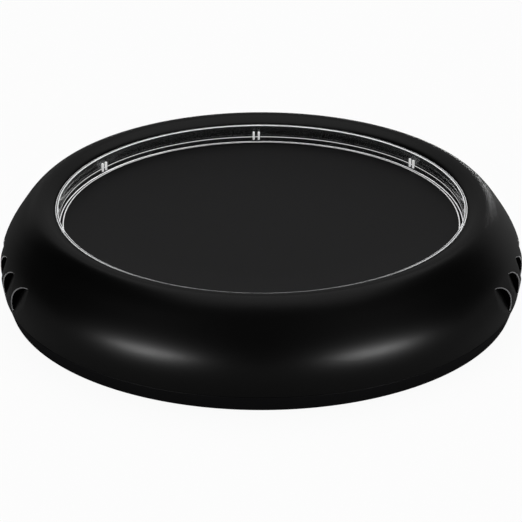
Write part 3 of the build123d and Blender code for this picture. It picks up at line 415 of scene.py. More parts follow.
def on_skin(point):
    """Whether a point lies on the outer skin of a flank, next to the gills."""
    skin = np.interp(point.z / MM, skin_heights, skin_radii)
    near = abs(hypot(point.x, point.y) / MM - skin) < SKIN_TOLERANCE
    return near and abs(point.x) > FLANK_FROM * MM


edit(housing_shell)
bpy.ops.mesh.select_mode(type="EDGE")
bpy.ops.mesh.edges_select_sharp(sharpness=radians(SHARP_ANGLE))
only(housing_shell)
shell_mesh = housing_shell.data
for edge in shell_mesh.edges:
    ends = [shell_mesh.vertices[index].co for index in edge.vertices]
    edge.select = edge.select and all(on_skin(end) for end in ends)
gill_edges = sum(edge.select for edge in shell_mesh.edges)
bpy.ops.object.mode_set(mode="EDIT")
bpy.ops.mesh.bevel(offset=GILL_EDGE_ROUND * MM, segments=2, clamp_overlap=False)
only(housing_shell)
print("gill edges rounded:", gill_edges)

# %% [markdown]
# ### Openings at the rear
# The rear wall takes a rocker switch in a shallow rectangular pocket, and a cord gland in a round
# spot face. Both are cut straight through the wall with plain cutters that are as large as the
# part plus a running gap, the way sliding cores in the mould would form them.

# %% Places of the switch and the gland
SWITCH_AZIMUTH = 63.0
CORD_AZIMUTH = 90.0
CONTROL_LEVEL = 12.0
SWITCH_GAP = 0.15
BEZEL = (15.0, 10.4, 1.6)
BEZEL_ROUND = 1.0
SWITCH_BODY = (13.3, 8.5)
FLANGE_RADIUS = 5.6
FLANGE_THICKNESS = 1.1
NECK_RADIUS = 4.0
NECK_GAP = 0.05
SLIVER_GAP = 0.01


def at_wall(azimuth, radius):
    """A place on the rear wall: x runs round the housing, y is up and z points outward."""
    turn = radians(azimuth)
    outward_there = Vector((cos(turn), sin(turn), 0))
    along_there = Vector((-sin(turn), cos(turn), 0))
    place = Matrix((along_there, Vector((0, 0, 1)), outward_there)).transposed().to_4x4()
    place.translation = (outward_there * radius + Vector((0, 0, CONTROL_LEVEL))) * MM
    return place


print("helper: at_wall")

# %% Cutting tools
UPRIGHT_LEAST = 0.1
CORNER_SEGMENTS = 6


def block(name, width, height, depth, round_=0.0, far=0.0):
    """A box that starts at its own z of minus depth and ends at far, upright edges rounded."""
    only()
    bpy.ops.mesh.primitive_cube_add(size=1)
    piece = bpy.context.object
    piece.name = name
    piece.scale = (width * MM, height * MM, (depth + far) * MM)
    piece.location = (0, 0, (far - depth) / 2 * MM)
    settle(piece)
    if round_:
        edit(piece)
        bpy.ops.mesh.select_mode(type="EDGE")
        only(piece)
        for edge in piece.data.edges:
            start, end = (piece.data.vertices[index].co for index in edge.vertices)
            edge.select = abs(start.z - end.z) > UPRIGHT_LEAST * MM
        bpy.ops.object.mode_set(mode="EDIT")
        bpy.ops.mesh.bevel(offset=round_ * MM, segments=CORNER_SEGMENTS)
        only(piece)
    return piece


def round_bar(name, radius, depth, far, steps=BAR_STEPS):
    """A round bar along its own z, from minus depth to far."""
    only()
    size = {"radius": radius * MM, "depth": (depth + far) * MM}
    bpy.ops.mesh.primitive_cylinder_add(vertices=steps, **size)
    piece = bpy.context.object
    piece.name = name
    piece.location = (0, 0, (far - depth) / 2 * MM)
    settle(piece)
    return piece


def cut(piece, cutter, place=None):
    """Moves a cutter to its place, subtracts it and removes it."""
    if place is not None:
        cutter.matrix_world = place
        settle(cutter)
    modify(piece, "BOOLEAN", object=cutter, operation="DIFFERENCE", solver="EXACT")
    bpy.data.objects.remove(cutter)


print("helpers: block, round_bar, cut")

# %% Cut the openings
bezel_room = [size + 2 * SWITCH_GAP for size in BEZEL[:2]]
body_room = [size + 2 * SWITCH_GAP for size in SWITCH_BODY]
switch_place = at_wall(SWITCH_AZIMUTH, HOUSING_RADIUS)
gland_place = at_wall(CORD_AZIMUTH, HOUSING_RADIUS)
spot_radius = FLANGE_RADIUS + SWITCH_GAP
cut(housing_shell, block("pocket", *bezel_room, BEZEL[2], BEZEL_ROUND, CUT_PAST), switch_place)
cut(housing_shell, block("opening", *body_room, CUT_PAST, 0, CUT_PAST), switch_place)
cut(housing_shell, round_bar("spot_face", spot_radius, FLANGE_THICKNESS, CUT_PAST), gland_place)
cut(housing_shell, round_bar("hole", NECK_RADIUS + NECK_GAP, CUT_PAST, CUT_PAST), gland_place)
print("rear openings:", bezel_room, body_room)

# %% Shade the housing
tidy_mesh(housing_shell, SLIVER_GAP)
smooth(housing_shell)
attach(housing_shell, "housing")
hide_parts("top_cover")
print("housing shell:", len(housing_shell.data.polygons), "faces")

# %% [markdown]
# ## Clear ring
# A thin clear ring lines the recess. The wall is polished and nearly vanishes, while its rounded
# rim is finely frosted, so it collects light and shows as two thin bright lines. Two narrow
# facets and a ledge are turned into its foot and metallised; the lower facet is bright, and the
# upper facet and the ledge get a darkened copy as painted shade, so their line stays faint.
# Seven legs below it clip under the shelf, and above each leg two small ribs stand on the
# inside, with a painted glow.

# %% Turn the ring
RING_OUTER = 51.1
RING_WALL = 0.7
RING_TOP = 26.4
RING_STEP = 23.3
RIM_ROUND = 0.2
RIM_STEPS = 4
FOOT_LEDGE = 50.28
LEDGE_RISE = 0.04
FACETS = ((50.28, 50.26, 23.1), (50.2, 50.0, 22.0))
FACET_DROP = 0.1

ring_inner = RING_OUTER - RING_WALL
rim_level = RING_TOP - RIM_ROUND
rim_radii = (RIM_ROUND, RIM_ROUND)
rim_line = arc((RING_OUTER - RIM_ROUND, rim_level), rim_radii, 0, 90, RIM_STEPS)
rim_line += arc((ring_inner + RIM_ROUND, rim_level), rim_radii, 90, 180, RIM_STEPS)
foot_line = [(ring_inner, RING_STEP + LEDGE_RISE), (FOOT_LEDGE, RING_STEP)]
for outer, inner, level in FACETS:
    foot_line += [(outer, level), (inner, level - FACET_DROP)]
foot_inner = foot_line[-1][0]
ring_section = (
    [(foot_inner, SHELF_TOP), (RING_OUTER, SHELF_TOP)]
    + rim_line
    + foot_line
    + [(foot_inner, SHELF_TOP)]
)
clear_ring = turned("clear_ring", ring_section, FINE_STEPS)

# %% Legs, hooks and ribs of the ring
LEG_COUNT = 7
LEG_GAP = 0.05
LEG_THICKNESS = 0.9
LEG_WIDTH = 6.0
LEG_LENGTH = 3.6
LEG_ROOT = 0.3
HOOK_WIDTH = 0.65
HOOK_HEIGHT = 0.5
HOOK_GAP = 0.1
HOOK_ROOT = 0.2
RIB_DEPTH = 0.4
RIB_ROOT = 0.1
RIB_WIDTH = 0.5
RIB_LEVELS = (22.4, 24.6)
RIB_OFFS = (0.67, 1.99)
BRICK_ROUND = 0.06


def brick(name, radii, width, levels, azimuth, off=0.0):
    """A small softened block that stands on a circle: two radii, its width and two levels."""
    only()
    bpy.ops.mesh.primitive_cube_add(size=1)
    piece = bpy.context.object
    piece.name = name
    piece.scale = Vector((radii[1] - radii[0], width, levels[1] - levels[0])) * MM
    piece.location = Vector((sum(radii) / 2, off, sum(levels) / 2)) * MM
    settle(piece)
    modify(piece, "BEVEL", width=BRICK_ROUND * MM, segments=2)
    piece.rotation_euler.z = radians(azimuth)
    settle(piece)
    return piece


leg_outer = RING_OUTER - LEG_GAP
leg_inner = leg_outer - LEG_THICKNESS
leg_levels = (SHELF_TOP - LEG_LENGTH, SHELF_TOP + LEG_ROOT)
hook_radii = (leg_inner - HOOK_WIDTH, leg_inner + HOOK_ROOT)
hook_top = SHELF_BOTTOM - HOOK_GAP
hook_levels = (hook_top - HOOK_HEIGHT, hook_top)
rib_radii = (ring_inner - RIB_DEPTH, ring_inner + RIB_ROOT)
ring_parts = []
for index in range(LEG_COUNT):
    azimuth = REAR + 360 / LEG_COUNT * index
    ring_parts.append(brick("leg", (leg_inner, leg_outer), LEG_WIDTH, leg_levels, azimuth))
    ring_parts.append(brick("hook", hook_radii, LEG_WIDTH, hook_levels, azimuth))
    for off in RIB_OFFS:
        ring_parts.append(brick("rib", rib_radii, RIB_WIDTH, RIB_LEVELS, azimuth, off))
only(*ring_parts, clear_ring)
bpy.ops.object.join()
smooth(clear_ring, WIDE_ANGLE)
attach(clear_ring, "housing")
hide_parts("light_ring")
print("clear ring:", len(clear_ring.data.polygons), "faces with its legs and ribs")

# %% [markdown]
# ## Warming plate
# The plate is pressed and turned from aluminium and coated black on top. Just inside its rounded
# edge a shallow step is turned through the coating, and the bare metal there draws a thin line
# round the plate. Four studs underneath take the screws of the clamp plate.

# %% Turn the plate
PLATE_BOTTOM = 20.6
PLATE_TOP = 22.2
PLATE_RADIUS = 49.85
PLATE_ROUND = 0.4
PLATE_CHAMFER = 0.15
PLATE_INNER_RING = 30.0
STEP_OUTER = 49.35
STEP_INNER = 49.1
STEP_DROP = 0.08
STUD_RADIUS = 3.2
STUD_CIRCLE = 38.0

plate_face = PLATE_TOP - STEP_DROP
edge_centre = (PLATE_RADIUS - PLATE_ROUND, PLATE_TOP - PLATE_ROUND)
plate_edge = arc(edge_centre, (PLATE_ROUND, PLATE_ROUND), 0, 90, ARC_STEPS)
plate_section = (
    [(0, PLATE_BOTTOM), (PLATE_RADIUS - PLATE_CHAMFER, PLATE_BOTTOM)]
    + [(PLATE_RADIUS, PLATE_BOTTOM + PLATE_CHAMFER)]
    + plate_edge
    + [(STEP_OUTER, PLATE_TOP), (STEP_INNER, plate_face), (PLATE_INNER_RING, plate_face)]
    + [(0, plate_face)]
)
heater_plate = turned("heater_plate", plate_section, FINE_STEPS)

# %% Studs under the plate
STUD_BOTTOM = 17.5
STUD_BORE = 1.25
STUD_CHAMFER = 0.2
STUD_ROOT = 0.05
STUD_COUNT = 4
QUARTER_START = 45


def placed_copies(piece, name, circle, count, start):
    """Copies of a finished piece, each with its own mesh, stood round a circle."""
    copies = []
    for index in range(count):
        twin = piece.copy()
        twin.data = piece.data.copy()
        twin.name = f"{name}_{index + 1}"
        bpy.context.scene.collection.objects.link(twin)
        turn = radians(start + 360 / count * index)
        twin.matrix_world = Matrix.Rotation(turn, 4, "Z") @ Matrix.Translation((circle * MM, 0, 0))
        settle(twin)
        copies.append(twin)
    bpy.data.objects.remove(piece)
    return copies


stud_root = PLATE_BOTTOM + STUD_ROOT
stud_section = [
    (STUD_BORE, STUD_BOTTOM),
    (STUD_RADIUS - STUD_CHAMFER, STUD_BOTTOM),
    (STUD_RADIUS, STUD_BOTTOM + STUD_CHAMFER),
    (STUD_RADIUS, stud_root),
    (STUD_BORE, stud_root),
    (STUD_BORE, STUD_BOTTOM),
]
one_stud = turned("one_stud", stud_section, SMALL_STEPS)
studs = placed_copies(one_stud, "stud", STUD_CIRCLE, STUD_COUNT, QUARTER_START)
only(*studs, heater_plate)
bpy.ops.object.join()
smooth(heater_plate, WIDE_ANGLE)
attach(heater_plate, "housing")
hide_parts("warming_plate")
print("plate:", 2 * PLATE_RADIUS, "mm across, top at", PLATE_TOP)

# %% [markdown]
# ## Base
# The base is a shallow moulded dish. Its rim tucks in under the housing and leaves a fine dark
# seam, and a collar inside keeps the two concentric. The underside has a pocket for every foot,
# a ring of cooling slots and a bare sunk field. It is turned first and then cut like a casting.

# %% Turn the base
BASE_BOTTOM = 1.2
FLOOR_TOP = 3.2
BASE_RADIUS = 62.5
BASE_ROUND = 0.8
BASE_ROUND_IN = 0.55
BASE_TOP_RADIUS = 63.9
BASE_TOP = 5.4
BASE_TOP_ROUND = 0.25
COLLAR_OUTER = 61.6
COLLAR_WALL = 1.6
COLLAR_TOP = 8.6
COLLAR_CHAMFER = 0.3
BOTTOM_TURN = (270, 342, 8)
TOP_TURN = (10, 90, 4)

collar_inner = COLLAR_OUTER - COLLAR_WALL
bottom_centre = (BASE_RADIUS - BASE_ROUND_IN, BASE_BOTTOM + BASE_ROUND)
top_centre = (BASE_TOP_RADIUS - BASE_TOP_ROUND, BASE_TOP - BASE_TOP_ROUND)
base_section = (
    [(0, BASE_BOTTOM)]
    + arc(bottom_centre, (BASE_ROUND, BASE_ROUND), *BOTTOM_TURN)
    + arc(top_centre, (BASE_TOP_ROUND, BASE_TOP_ROUND), *TOP_TURN)
    + [(COLLAR_OUTER, BASE_TOP), (COLLAR_OUTER, COLLAR_TOP - COLLAR_CHAMFER)]
    + [(COLLAR_OUTER - COLLAR_CHAMFER, COLLAR_TOP), (collar_inner, COLLAR_TOP)]
    + [(collar_inner, FLOOR_TOP), (0, FLOOR_TOP)]
)
base_shell = turned("base_shell", base_section, FINE_STEPS)

# %% Bosses, pedestal and posts inside the base
SCREW_CIRCLE = 54.5
SCREW_COUNT = 4
ROOT = 0.4
BOSS_RADIUS = 4.2
BOSS_TOP = 7.0
POST_RADIUS = 2.5
POST_OFFS = (-18, 18)
PILOT_RADIUS = 1.05
PILOT_DEPTH = 7.0
PILOT_STEPS = 24
BOARD_LEVEL = 13.0
BOARD_CIRCLE = 53.0
BLOCK_PLACE = 43.0
BLOCK_LEVEL = 6.2
PEDESTAL = (22.0, 10.0)


def fuse(piece, *others):
    """Joins solid pieces into one skin."""
    for other in others:
        modify(piece, "BOOLEAN", object=other, operation="UNION", solver="EXACT")
        bpy.data.objects.remove(other)


boss = round_bar("boss", BOSS_RADIUS, ROOT, BOSS_TOP - FLOOR_TOP, SMALL_STEPS)
boss.location.z = FLOOR_TOP * MM
settle(boss)
fuse(base_shell, *placed_copies(boss, "boss", SCREW_CIRCLE, SCREW_COUNT, QUARTER_START))
for off in POST_OFFS:
    post = round_bar("post", POST_RADIUS, ROOT, BOARD_LEVEL - FLOOR_TOP, PIN_STEPS)
    turn = radians(FRONT + off)
    post.location = Vector((BOARD_CIRCLE * cos(turn), BOARD_CIRCLE * sin(turn), FLOOR_TOP)) * MM
    settle(post)
    pilot = Vector((BOARD_CIRCLE * cos(turn), BOARD_CIRCLE * sin(turn), BOARD_LEVEL)) * MM
    drill = round_bar("pilot", PILOT_RADIUS, PILOT_DEPTH, 1, PILOT_STEPS)
    cut(post, drill, Matrix.Translation(pilot))
    fuse(base_shell, post)
pedestal = block("pedestal", *PEDESTAL, ROOT, 0, BLOCK_LEVEL - FLOOR_TOP)
pedestal.location = Vector((0, BLOCK_PLACE, FLOOR_TOP)) * MM
settle(pedestal)
fuse(base_shell, pedestal)
print("base with bosses:", len(base_shell.data.polygons), "faces")

# %% Pockets, slots and the bare field of the underside
POCKET_RADIUS = 6.15
POCKET_TOP = 2.2
HEAD_RADIUS = 3.0
HEAD_TOP = 4.3
SHANK_RADIUS = 1.55
SHANK_TOP = 7.5
SLOT = (16.0, 2.4)
SLOT_ROUND = 1.15
SLOT_CIRCLE = 26.0
SLOT_COUNT = 12
SLOT_START = 15
FIELD = (34.0, 12.0)
FIELD_ROUND = 1.0
FIELD_DEPTH = 0.4
FIELD_PLACE = -47.0
BELOW = 0.2
ABOVE = 0.6
COLLAR_GAPS = ((SWITCH_AZIMUTH, 19.0), (CORD_AZIMUTH, 13.7))
COLLAR_GAP_DEPTH = 6.5
COLLAR_GAP_IN = 6.0

foot_cut_section = [
    (0, 0),
    (POCKET_RADIUS, 0),
    (POCKET_RADIUS, POCKET_TOP),
    (HEAD_RADIUS, POCKET_TOP),
    (HEAD_RADIUS, HEAD_TOP),
    (SHANK_RADIUS, HEAD_TOP),
    (SHANK_RADIUS, SHANK_TOP),
    (0, SHANK_TOP),
]
foot_cut = turned("foot_cut", foot_cut_section, BAR_STEPS)
slot_cut = block("slot_cut", *SLOT, BELOW, SLOT_ROUND, FLOOR_TOP + ABOVE)
cutters = placed_copies(foot_cut, "foot_cut", SCREW_CIRCLE, SCREW_COUNT, QUARTER_START)
cutters += placed_copies(slot_cut, "slot_cut", SLOT_CIRCLE, SLOT_COUNT, SLOT_START)
field = block("field", *FIELD, BELOW, FIELD_ROUND, BASE_BOTTOM + FIELD_DEPTH)
field.location.y = FIELD_PLACE * MM
settle(field)
cutters.append(field)
for azimuth, width in COLLAR_GAPS:
    gap = block("gap", width, 2 * (COLLAR_TOP - BASE_TOP), 0, 0, COLLAR_GAP_DEPTH)
    gap.matrix_world = at_wall(azimuth, COLLAR_OUTER - COLLAR_GAP_IN)
    gap.matrix_world.translation.z = COLLAR_TOP * MM
    settle(gap)
    cutters.append(gap)
only(*cutters)
bpy.ops.object.join()
cut(base_shell, bpy.context.object)
tidy_mesh(base_shell)
smooth(base_shell, BASE_ANGLE)
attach(base_shell, "housing")
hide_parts("base_cover")
print("base:", len(base_shell.data.polygons), "faces")

# %% [markdown]
# ## Feet
# Four soft rubber feet are glued into the pockets and hide the screws. Each is moulded with a
# rounded edge and a shallow cup in its face, so it grips like a suction cup.

# %% Feet
FOOT_CUP = [(0, 0.3), (3.4, 0.22), (4.0, 0.04), (4.3, 0)]
FOOT_SIDE = [(6.0, 1.25), (5.92, 1.35), (5.92, 2.0), (5.75, 2.2), (0, 2.2)]
FOOT_ROUND = 0.5
FOOT_RADIUS = 6.0

foot_section = (
    FOOT_CUP
    + arc((FOOT_RADIUS - FOOT_ROUND, FOOT_ROUND), (FOOT_ROUND, FOOT_ROUND), 270, 360, ARC_STEPS)
    + FOOT_SIDE
)
one_foot = turned("one_foot", foot_section, ROUND_STEPS)
smooth(one_foot, SOFT_ANGLE)
foot_names = ("foot_rear_right", "foot_rear_left", "foot_front_left", "foot_front_right")
rubber_feet = placed_copies(one_foot, "rubber_foot", SCREW_CIRCLE, SCREW_COUNT, QUARTER_START)
for rubber_foot, foot_name in zip(rubber_feet, foot_names):
    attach(rubber_foot, "housing")
    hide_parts(foot_name)
print("feet:", [foot.name for foot in rubber_feet])

# %% [markdown]
# ## Rocker switch
# A small snap-in rocker switch sits at the rear. Its body is a deep box with a raised bezel. The
# rocker is a shallow V in side view, moulded with soft edges, and carries the usual printed bar
# and circle for on and off.

# %% Switch body and bezel
POCKET = (12.4, 6.9, 8.0)
POCKET_ROUND = 0.4
SWITCH_SOFT = 0.3
SOFT_SEGMENTS = 3
BODY_BACK = 13.0


def soften(piece, angle):
    """Rounds the edges of a piece that are sharper than the angle."""
    sizes = {"width": SWITCH_SOFT * MM, "segments": SOFT_SEGMENTS}
    modify(piece, "BEVEL", limit_method="ANGLE", angle_limit=radians(angle), **sizes)


bezel = block("switch_body", *BEZEL, BEZEL_ROUND)
soften(bezel, WIDE_ANGLE)
fuse(bezel, block("body", *SWITCH_BODY, BEZEL[2] + BODY_BACK, 0, -ROOT))
cut(bezel, block("pocket", *POCKET, POCKET_ROUND, 1))
bezel.matrix_world = switch_place
settle(bezel)
smooth(bezel)
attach(bezel, "housing")
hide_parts("switch_housing")
print("switch body:", len(bezel.data.polygons), "faces")

# %% Rocker
ROCKER_RADIUS = 5.9
ROCKER_MIDDLE = 2.3
ROCKER_BACK = 2.2
ROCKER_HALF_WIDTH = 3.25
ROCKER_TIP = (4.972, 3.177)
SIDE_STEPS = 10
PIVOT_RADIUS = 61.8
PIN_RADIUS = 1.0
PIN_HALF_LENGTH = 4.25
HALF_THROW = radians(10)

heel_turn = atan2(-ROCKER_BACK, sqrt(ROCKER_RADIUS**2 - ROCKER_BACK**2))
tip_turn = atan2(ROCKER_TIP[1], ROCKER_TIP[0])
side_turns = [
    tip_turn + (heel_turn - tip_turn) * i / SIDE_STEPS for i in range(SIDE_STEPS + 1)
]
right_side = [(ROCKER_RADIUS * cos(a), ROCKER_RADIUS * sin(a)) for a in side_turns]
left_side = [(-x, y) for x, y in reversed(right_side)]
rocker_outline = [(0, ROCKER_MIDDLE)] + right_side + left_side + [(0, ROCKER_MIDDLE)]
rocker_points = [(x, y, -ROCKER_HALF_WIDTH) for x, y in rocker_outline]
rocker_key = prism("rocker_key", rocker_points, 2 * ROCKER_HALF_WIDTH)
tidy_mesh(rocker_key)
soften(rocker_key, SOFT_ANGLE)
fuse(rocker_key, round_bar("pin", PIN_RADIUS, PIN_HALF_LENGTH, PIN_HALF_LENGTH, PIN_STEPS))


def rocker_place(shift=0.0, out=0.0, tip_in=0.0):
    """A place on the rocker at rest: x runs along its face, y points out and z is up."""
    turn = radians(SWITCH_AZIMUTH)
    pivot = Vector((cos(turn) * PIVOT_RADIUS, sin(turn) * PIVOT_RADIUS, CONTROL_LEVEL)) * MM
    spin = Matrix.Rotation(turn + HALF_THROW - pi / 2, 4, "Z")
    swap = Matrix.Diagonal((-1, 1, 1, 1))
    step = Matrix.Translation((shift * MM, out * MM, 0)) @ Matrix.Rotation(tip_in, 4, "Z")
    return Matrix.Translation(pivot) @ spin @ swap @ step


rocker_key.matrix_world = rocker_place()
settle(rocker_key)
tidy_mesh(rocker_key)
smooth(rocker_key)
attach(rocker_key, "rocker")
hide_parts("switch_rocker")
print("rocker:", len(rocker_key.data.polygons), "faces")

# %% Printed bar and circle
MARK_SINK = 0.05
MARK_RISE = 0.03
MARK_SOFT = 0.02
MARK_SHIFT = 0.1
BAR = (0.5, 2.6)
BAR_ROUND = 0.12
CIRCLE = (0.95, 1.3)

bar_mark = block("bar_mark", *BAR, MARK_SINK, BAR_ROUND, MARK_RISE)
circle_section = [
    (CIRCLE[0], -MARK_SINK),
    (CIRCLE[1], -MARK_SINK),
    (CIRCLE[1], MARK_RISE - MARK_SOFT),
    (CIRCLE[1] - MARK_SOFT, MARK_RISE),
    (CIRCLE[0] + MARK_SOFT, MARK_RISE),
    (CIRCLE[0], MARK_RISE - MARK_SOFT),
    (CIRCLE[0], -MARK_SINK),
]
circle_mark = turned("circle_mark", circle_section, SMALL_STEPS)
for mark, side in ((bar_mark, -1), (circle_mark, 1)):
    middle = ROCKER_TIP[0] / 2 + MARK_SHIFT
    height = ROCKER_MIDDLE + middle * tan(HALF_THROW)
    upright = Matrix.Rotation(-pi / 2, 4, "X")
    mark.matrix_world = rocker_place(side * middle, height, side * HALF_THROW) @ upright
    settle(mark)
    tidy_mesh(mark)
    smooth(mark)
    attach(mark, "rocker")
print("marks: bar_mark, circle_mark")

# %% [markdown]
# ## Cord gland
# A rubber gland closes the cord hole. It is turned in one piece: a rounded flange outside, a neck
# through the wall and a snap flange inside, with a soft lead-in at the bore.

# %% Gland
BORE = 3.1
GLAND_BACK = -8.0
GLAND_ROUND = 0.5
SNAP_FLANGE = [(4.6, -6.5), (5.55, -6.5), (5.55, -4)]
FACE_GROOVE = [(4.5, 0), (4.4, -0.12), (4.1, -0.12), (4.0, 0)]

gland_radii = (GLAND_ROUND, GLAND_ROUND)
gland_section = (
    [(BORE, GLAND_BACK), (SNAP_FLANGE[0][0], GLAND_BACK)]
    + SNAP_FLANGE
    + [(NECK_RADIUS, SNAP_FLANGE[-1][1]), (NECK_RADIUS, -FLANGE_THICKNESS)]
    + [(FLANGE_RADIUS, -FLANGE_THICKNESS)]
    + arc((FLANGE_RADIUS - GLAND_ROUND, -GLAND_ROUND), gland_radii, 0, 90, ARC_STEPS)
    + FACE_GROOVE
    + arc((BORE + GLAND_ROUND, -GLAND_ROUND), gland_radii, 90, 180, ARC_STEPS)
    + [(BORE, GLAND_BACK)]
)
gland = turned("gland", gland_section, ROUND_STEPS)
gland.matrix_world = gland_place
settle(gland)
smooth(gland, SOFT_ANGLE)
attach(gland, "housing")
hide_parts("cord_gland")
print("gland:", len(gland.data.polygons), "faces")

# %% [markdown]
# ## Finishes
# Every finish is built from the shader's own nodes. Fine noise on object coordinates drives
# the colour, the roughness and a shallow bump, so no surface is one flat value. The helper below
# lays down that common pattern, and each finish sets its own scale and strength.

# %% Node helpers
def wire(tree, kind, links=(), **values):
    """Adds a node, sets its input values by socket name and links outputs to its inputs."""
    node = tree.nodes.new(kind)
    for socket, value in values.items():
        node.inputs[socket.replace("_", " ")].default_value = value
    for output, socket in links:
        tree.links.new(output, node.inputs[socket])
    return node


def new_material(name):
    """A new material, with its node tree and its shader."""
    material = bpy.data.materials.new(name)
    material.use_nodes = True
    tree = material.node_tree
    return material, tree, tree.nodes["Principled BSDF"]


print("helpers: wire, new_material")

# %% Finish helper
BROAD_SCALE = 90
BROAD_DETAIL = 2
FINE_DETAIL = 4
PATTERN_RANGE = (0.3, 0.7)
RELIEF_DEPTH = 0.05
NOISE = ("ShaderNodeTexNoise", "Fac")
CELLS = ("ShaderNodeTexVoronoi", "Distance")
METAL = {"Metallic": 1.0}
CLEAR = {"Transmission Weight": 0.97, "IOR": 1.49}


def finish(name, colour, second, rough, spread, scale, bump, more=(), pattern=NOISE, stretch=1):
    """A procedural finish: two colours, a roughness range and a bump from one fine pattern."""
    material, tree, shading = new_material(name)
    for socket, value in dict(more).items():
        shading.inputs[socket].default_value = value
    place = tree.nodes.new("ShaderNodeTexCoord").outputs["Object"]
    scales = [scale, scale * stretch, scale * stretch]
    mapping = wire(tree, "ShaderNodeMapping", [(place, "Vector")], Scale=scales)
    kind, output = pattern
    fine = wire(tree, kind, [(mapping.outputs["Vector"], "Vector")], Scale=1)
    if pattern == NOISE:
        fine.inputs["Detail"].default_value = FINE_DETAIL
    grain = fine.outputs[output]
    broad = wire(
        tree, NOISE[0], [(place, "Vector")], Scale=BROAD_SCALE, Detail=BROAD_DETAIL
    ).outputs["Fac"]
    tint = tree.nodes.new("ShaderNodeMix")
    tint.data_type = "RGBA"
    tint.inputs["A"].default_value = (*colour, 1)
    tint.inputs["B"].default_value = (*second, 1)
    tree.links.new(broad, tint.inputs["Factor"])
    tree.links.new(tint.outputs["Result"], shading.inputs["Base Color"])
    dull = wire(
        tree,
        "ShaderNodeMapRange",
        [(grain, "Value")],
        From_Min=PATTERN_RANGE[0],
        From_Max=PATTERN_RANGE[1],
        To_Min=rough - spread,
        To_Max=rough + spread,
    )
    tree.links.new(dull.outputs["Result"], shading.inputs["Roughness"])
    relief = wire(
        tree, "ShaderNodeBump", [(grain, "Height")], Strength=bump, Distance=RELIEF_DEPTH * MM
    )
    for socket in ("Normal", "Coat Normal"):
        tree.links.new(relief.outputs["Normal"], shading.inputs[socket])
    return material


def coated(weight, roughness):
    """Values for a surface whose only gloss is a thin coat."""
    return {"Specular IOR Level": 0.0, "Coat Weight": weight, "Coat Roughness": roughness}


def grey(level):
    """A neutral colour."""
    return (level, level, level)


print("helpers: finish, coated, grey")

# %% [markdown]
# ### Every material of the warmer
# The plastics and rubbers seen from outside are almost pure black under a thin satin coat, which
# alone makes their soft gloss. The metals, mica, felt and wire inside have their own colours.
# A row gives two colours, the roughness and its spread, the pattern's scale and its bump.

# %% Finishes by material slot
MATERIAL_NAMES = {
    "housing_plastic": "satin_black_plastic",
    "base_plastic": "textured_black_plastic",
}
finish_rows = {
    "housing_plastic": (grey(0.0003), grey(0.0005), 0.42, 0.03, 9000, 0.12, coated(0.155, 0.345)),
    "base_plastic": (
        (0.0007, 0.0007, 0.0008), (0.0011, 0.0011, 0.0012),
        0.5, 0.04, 6000, 0.3, coated(0.085, 0.45),
    ),
    "clear_plastic": ((0.98, 0.99, 1.0), (0.96, 0.98, 1.0), 0.05, 0.02, 2500, 0.02, CLEAR),
    "plate_coating": (
        (0.0022, 0.0022, 0.0024), (0.0028, 0.0028, 0.003),
        0.5, 0.05, 5000, 0.25, coated(0.15, 0.42),
    ),
    "silicone": ((0.7, 0.69, 0.65), (0.64, 0.63, 0.6), 0.6, 0.05, 3000, 0.2),
    "mica": ((0.62, 0.5, 0.32), (0.45, 0.36, 0.24), 0.35, 0.1, 900, 0.5, {}, CELLS),
    "resistance_alloy": ((0.55, 0.53, 0.5), (0.4, 0.37, 0.34), 0.35, 0.08, 2500, 0.2, METAL),
    "fibre_felt": ((0.85, 0.84, 0.8), (0.7, 0.69, 0.64), 0.9, 0.05, 1800, 0.9, {}, NOISE, 6),
    "plated_steel": ((0.62, 0.62, 0.6), (0.5, 0.5, 0.49), 0.3, 0.06, 2500, 0.15, METAL),
    "ceramic": ((0.88, 0.87, 0.83), (0.8, 0.79, 0.75), 0.45, 0.06, 2500, 0.2),
    "aluminium_cup": ((0.75, 0.75, 0.76), (0.62, 0.62, 0.63), 0.28, 0.06, 3000, 0.15, METAL),
    "phenolic": ((0.05, 0.04, 0.035), (0.03, 0.025, 0.02), 0.5, 0.06, 3000, 0.2),
    "brass_contact": ((0.72, 0.55, 0.28), (0.6, 0.44, 0.2), 0.3, 0.06, 2500, 0.15, METAL),
    "fuse_case": ((0.7, 0.68, 0.62), (0.55, 0.53, 0.48), 0.3, 0.05, 2500, 0.1, METAL),
    "glass_sleeve": ((0.86, 0.85, 0.78), (0.7, 0.69, 0.62), 0.8, 0.05, 2200, 0.9, {}, CELLS),
    "foot_rubber": (grey(0.004), grey(0.007), 0.7, 0.06, 4000, 0.4, coated(0.06, 0.6)),
    "gland_rubber": (grey(0.0025), grey(0.004), 0.6, 0.06, 4000, 0.3, coated(0.09, 0.5)),
    "switch_plastic": (grey(0.001), grey(0.0016), 0.4, 0.05, 6000, 0.15, coated(0.16, 0.3)),
    "rocker_plastic": (grey(0.001), grey(0.0016), 0.32, 0.05, 6000, 0.1, coated(0.22, 0.24)),
    "block_plastic": ((0.82, 0.82, 0.78), (0.74, 0.74, 0.7), 0.5, 0.05, 3000, 0.2),
    "board_laminate": ((0.04, 0.2, 0.08), (0.02, 0.12, 0.05), 0.35, 0.05, 2500, 0.2),
    "lamp_resin": ((0.9, 0.88, 0.7), (0.8, 0.76, 0.55), 0.3, 0.05, 2500, 0.1),
    "resistor_body": ((0.45, 0.6, 0.72), (0.35, 0.48, 0.6), 0.3, 0.05, 2500, 0.1),
    "live_lead": ((0.35, 0.12, 0.05), (0.28, 0.09, 0.035), 0.5, 0.05, 3000, 0.15),
    "neutral_lead": ((0.08, 0.2, 0.55), (0.06, 0.15, 0.42), 0.5, 0.05, 3000, 0.15),
    "lamp_lead": ((0.75, 0.75, 0.72), (0.65, 0.65, 0.62), 0.5, 0.05, 3000, 0.15),
}
finishes = {
    slot: finish(MATERIAL_NAMES.get(slot, slot), *row) for slot, row in finish_rows.items()
}
print("finishes:", len(finishes))

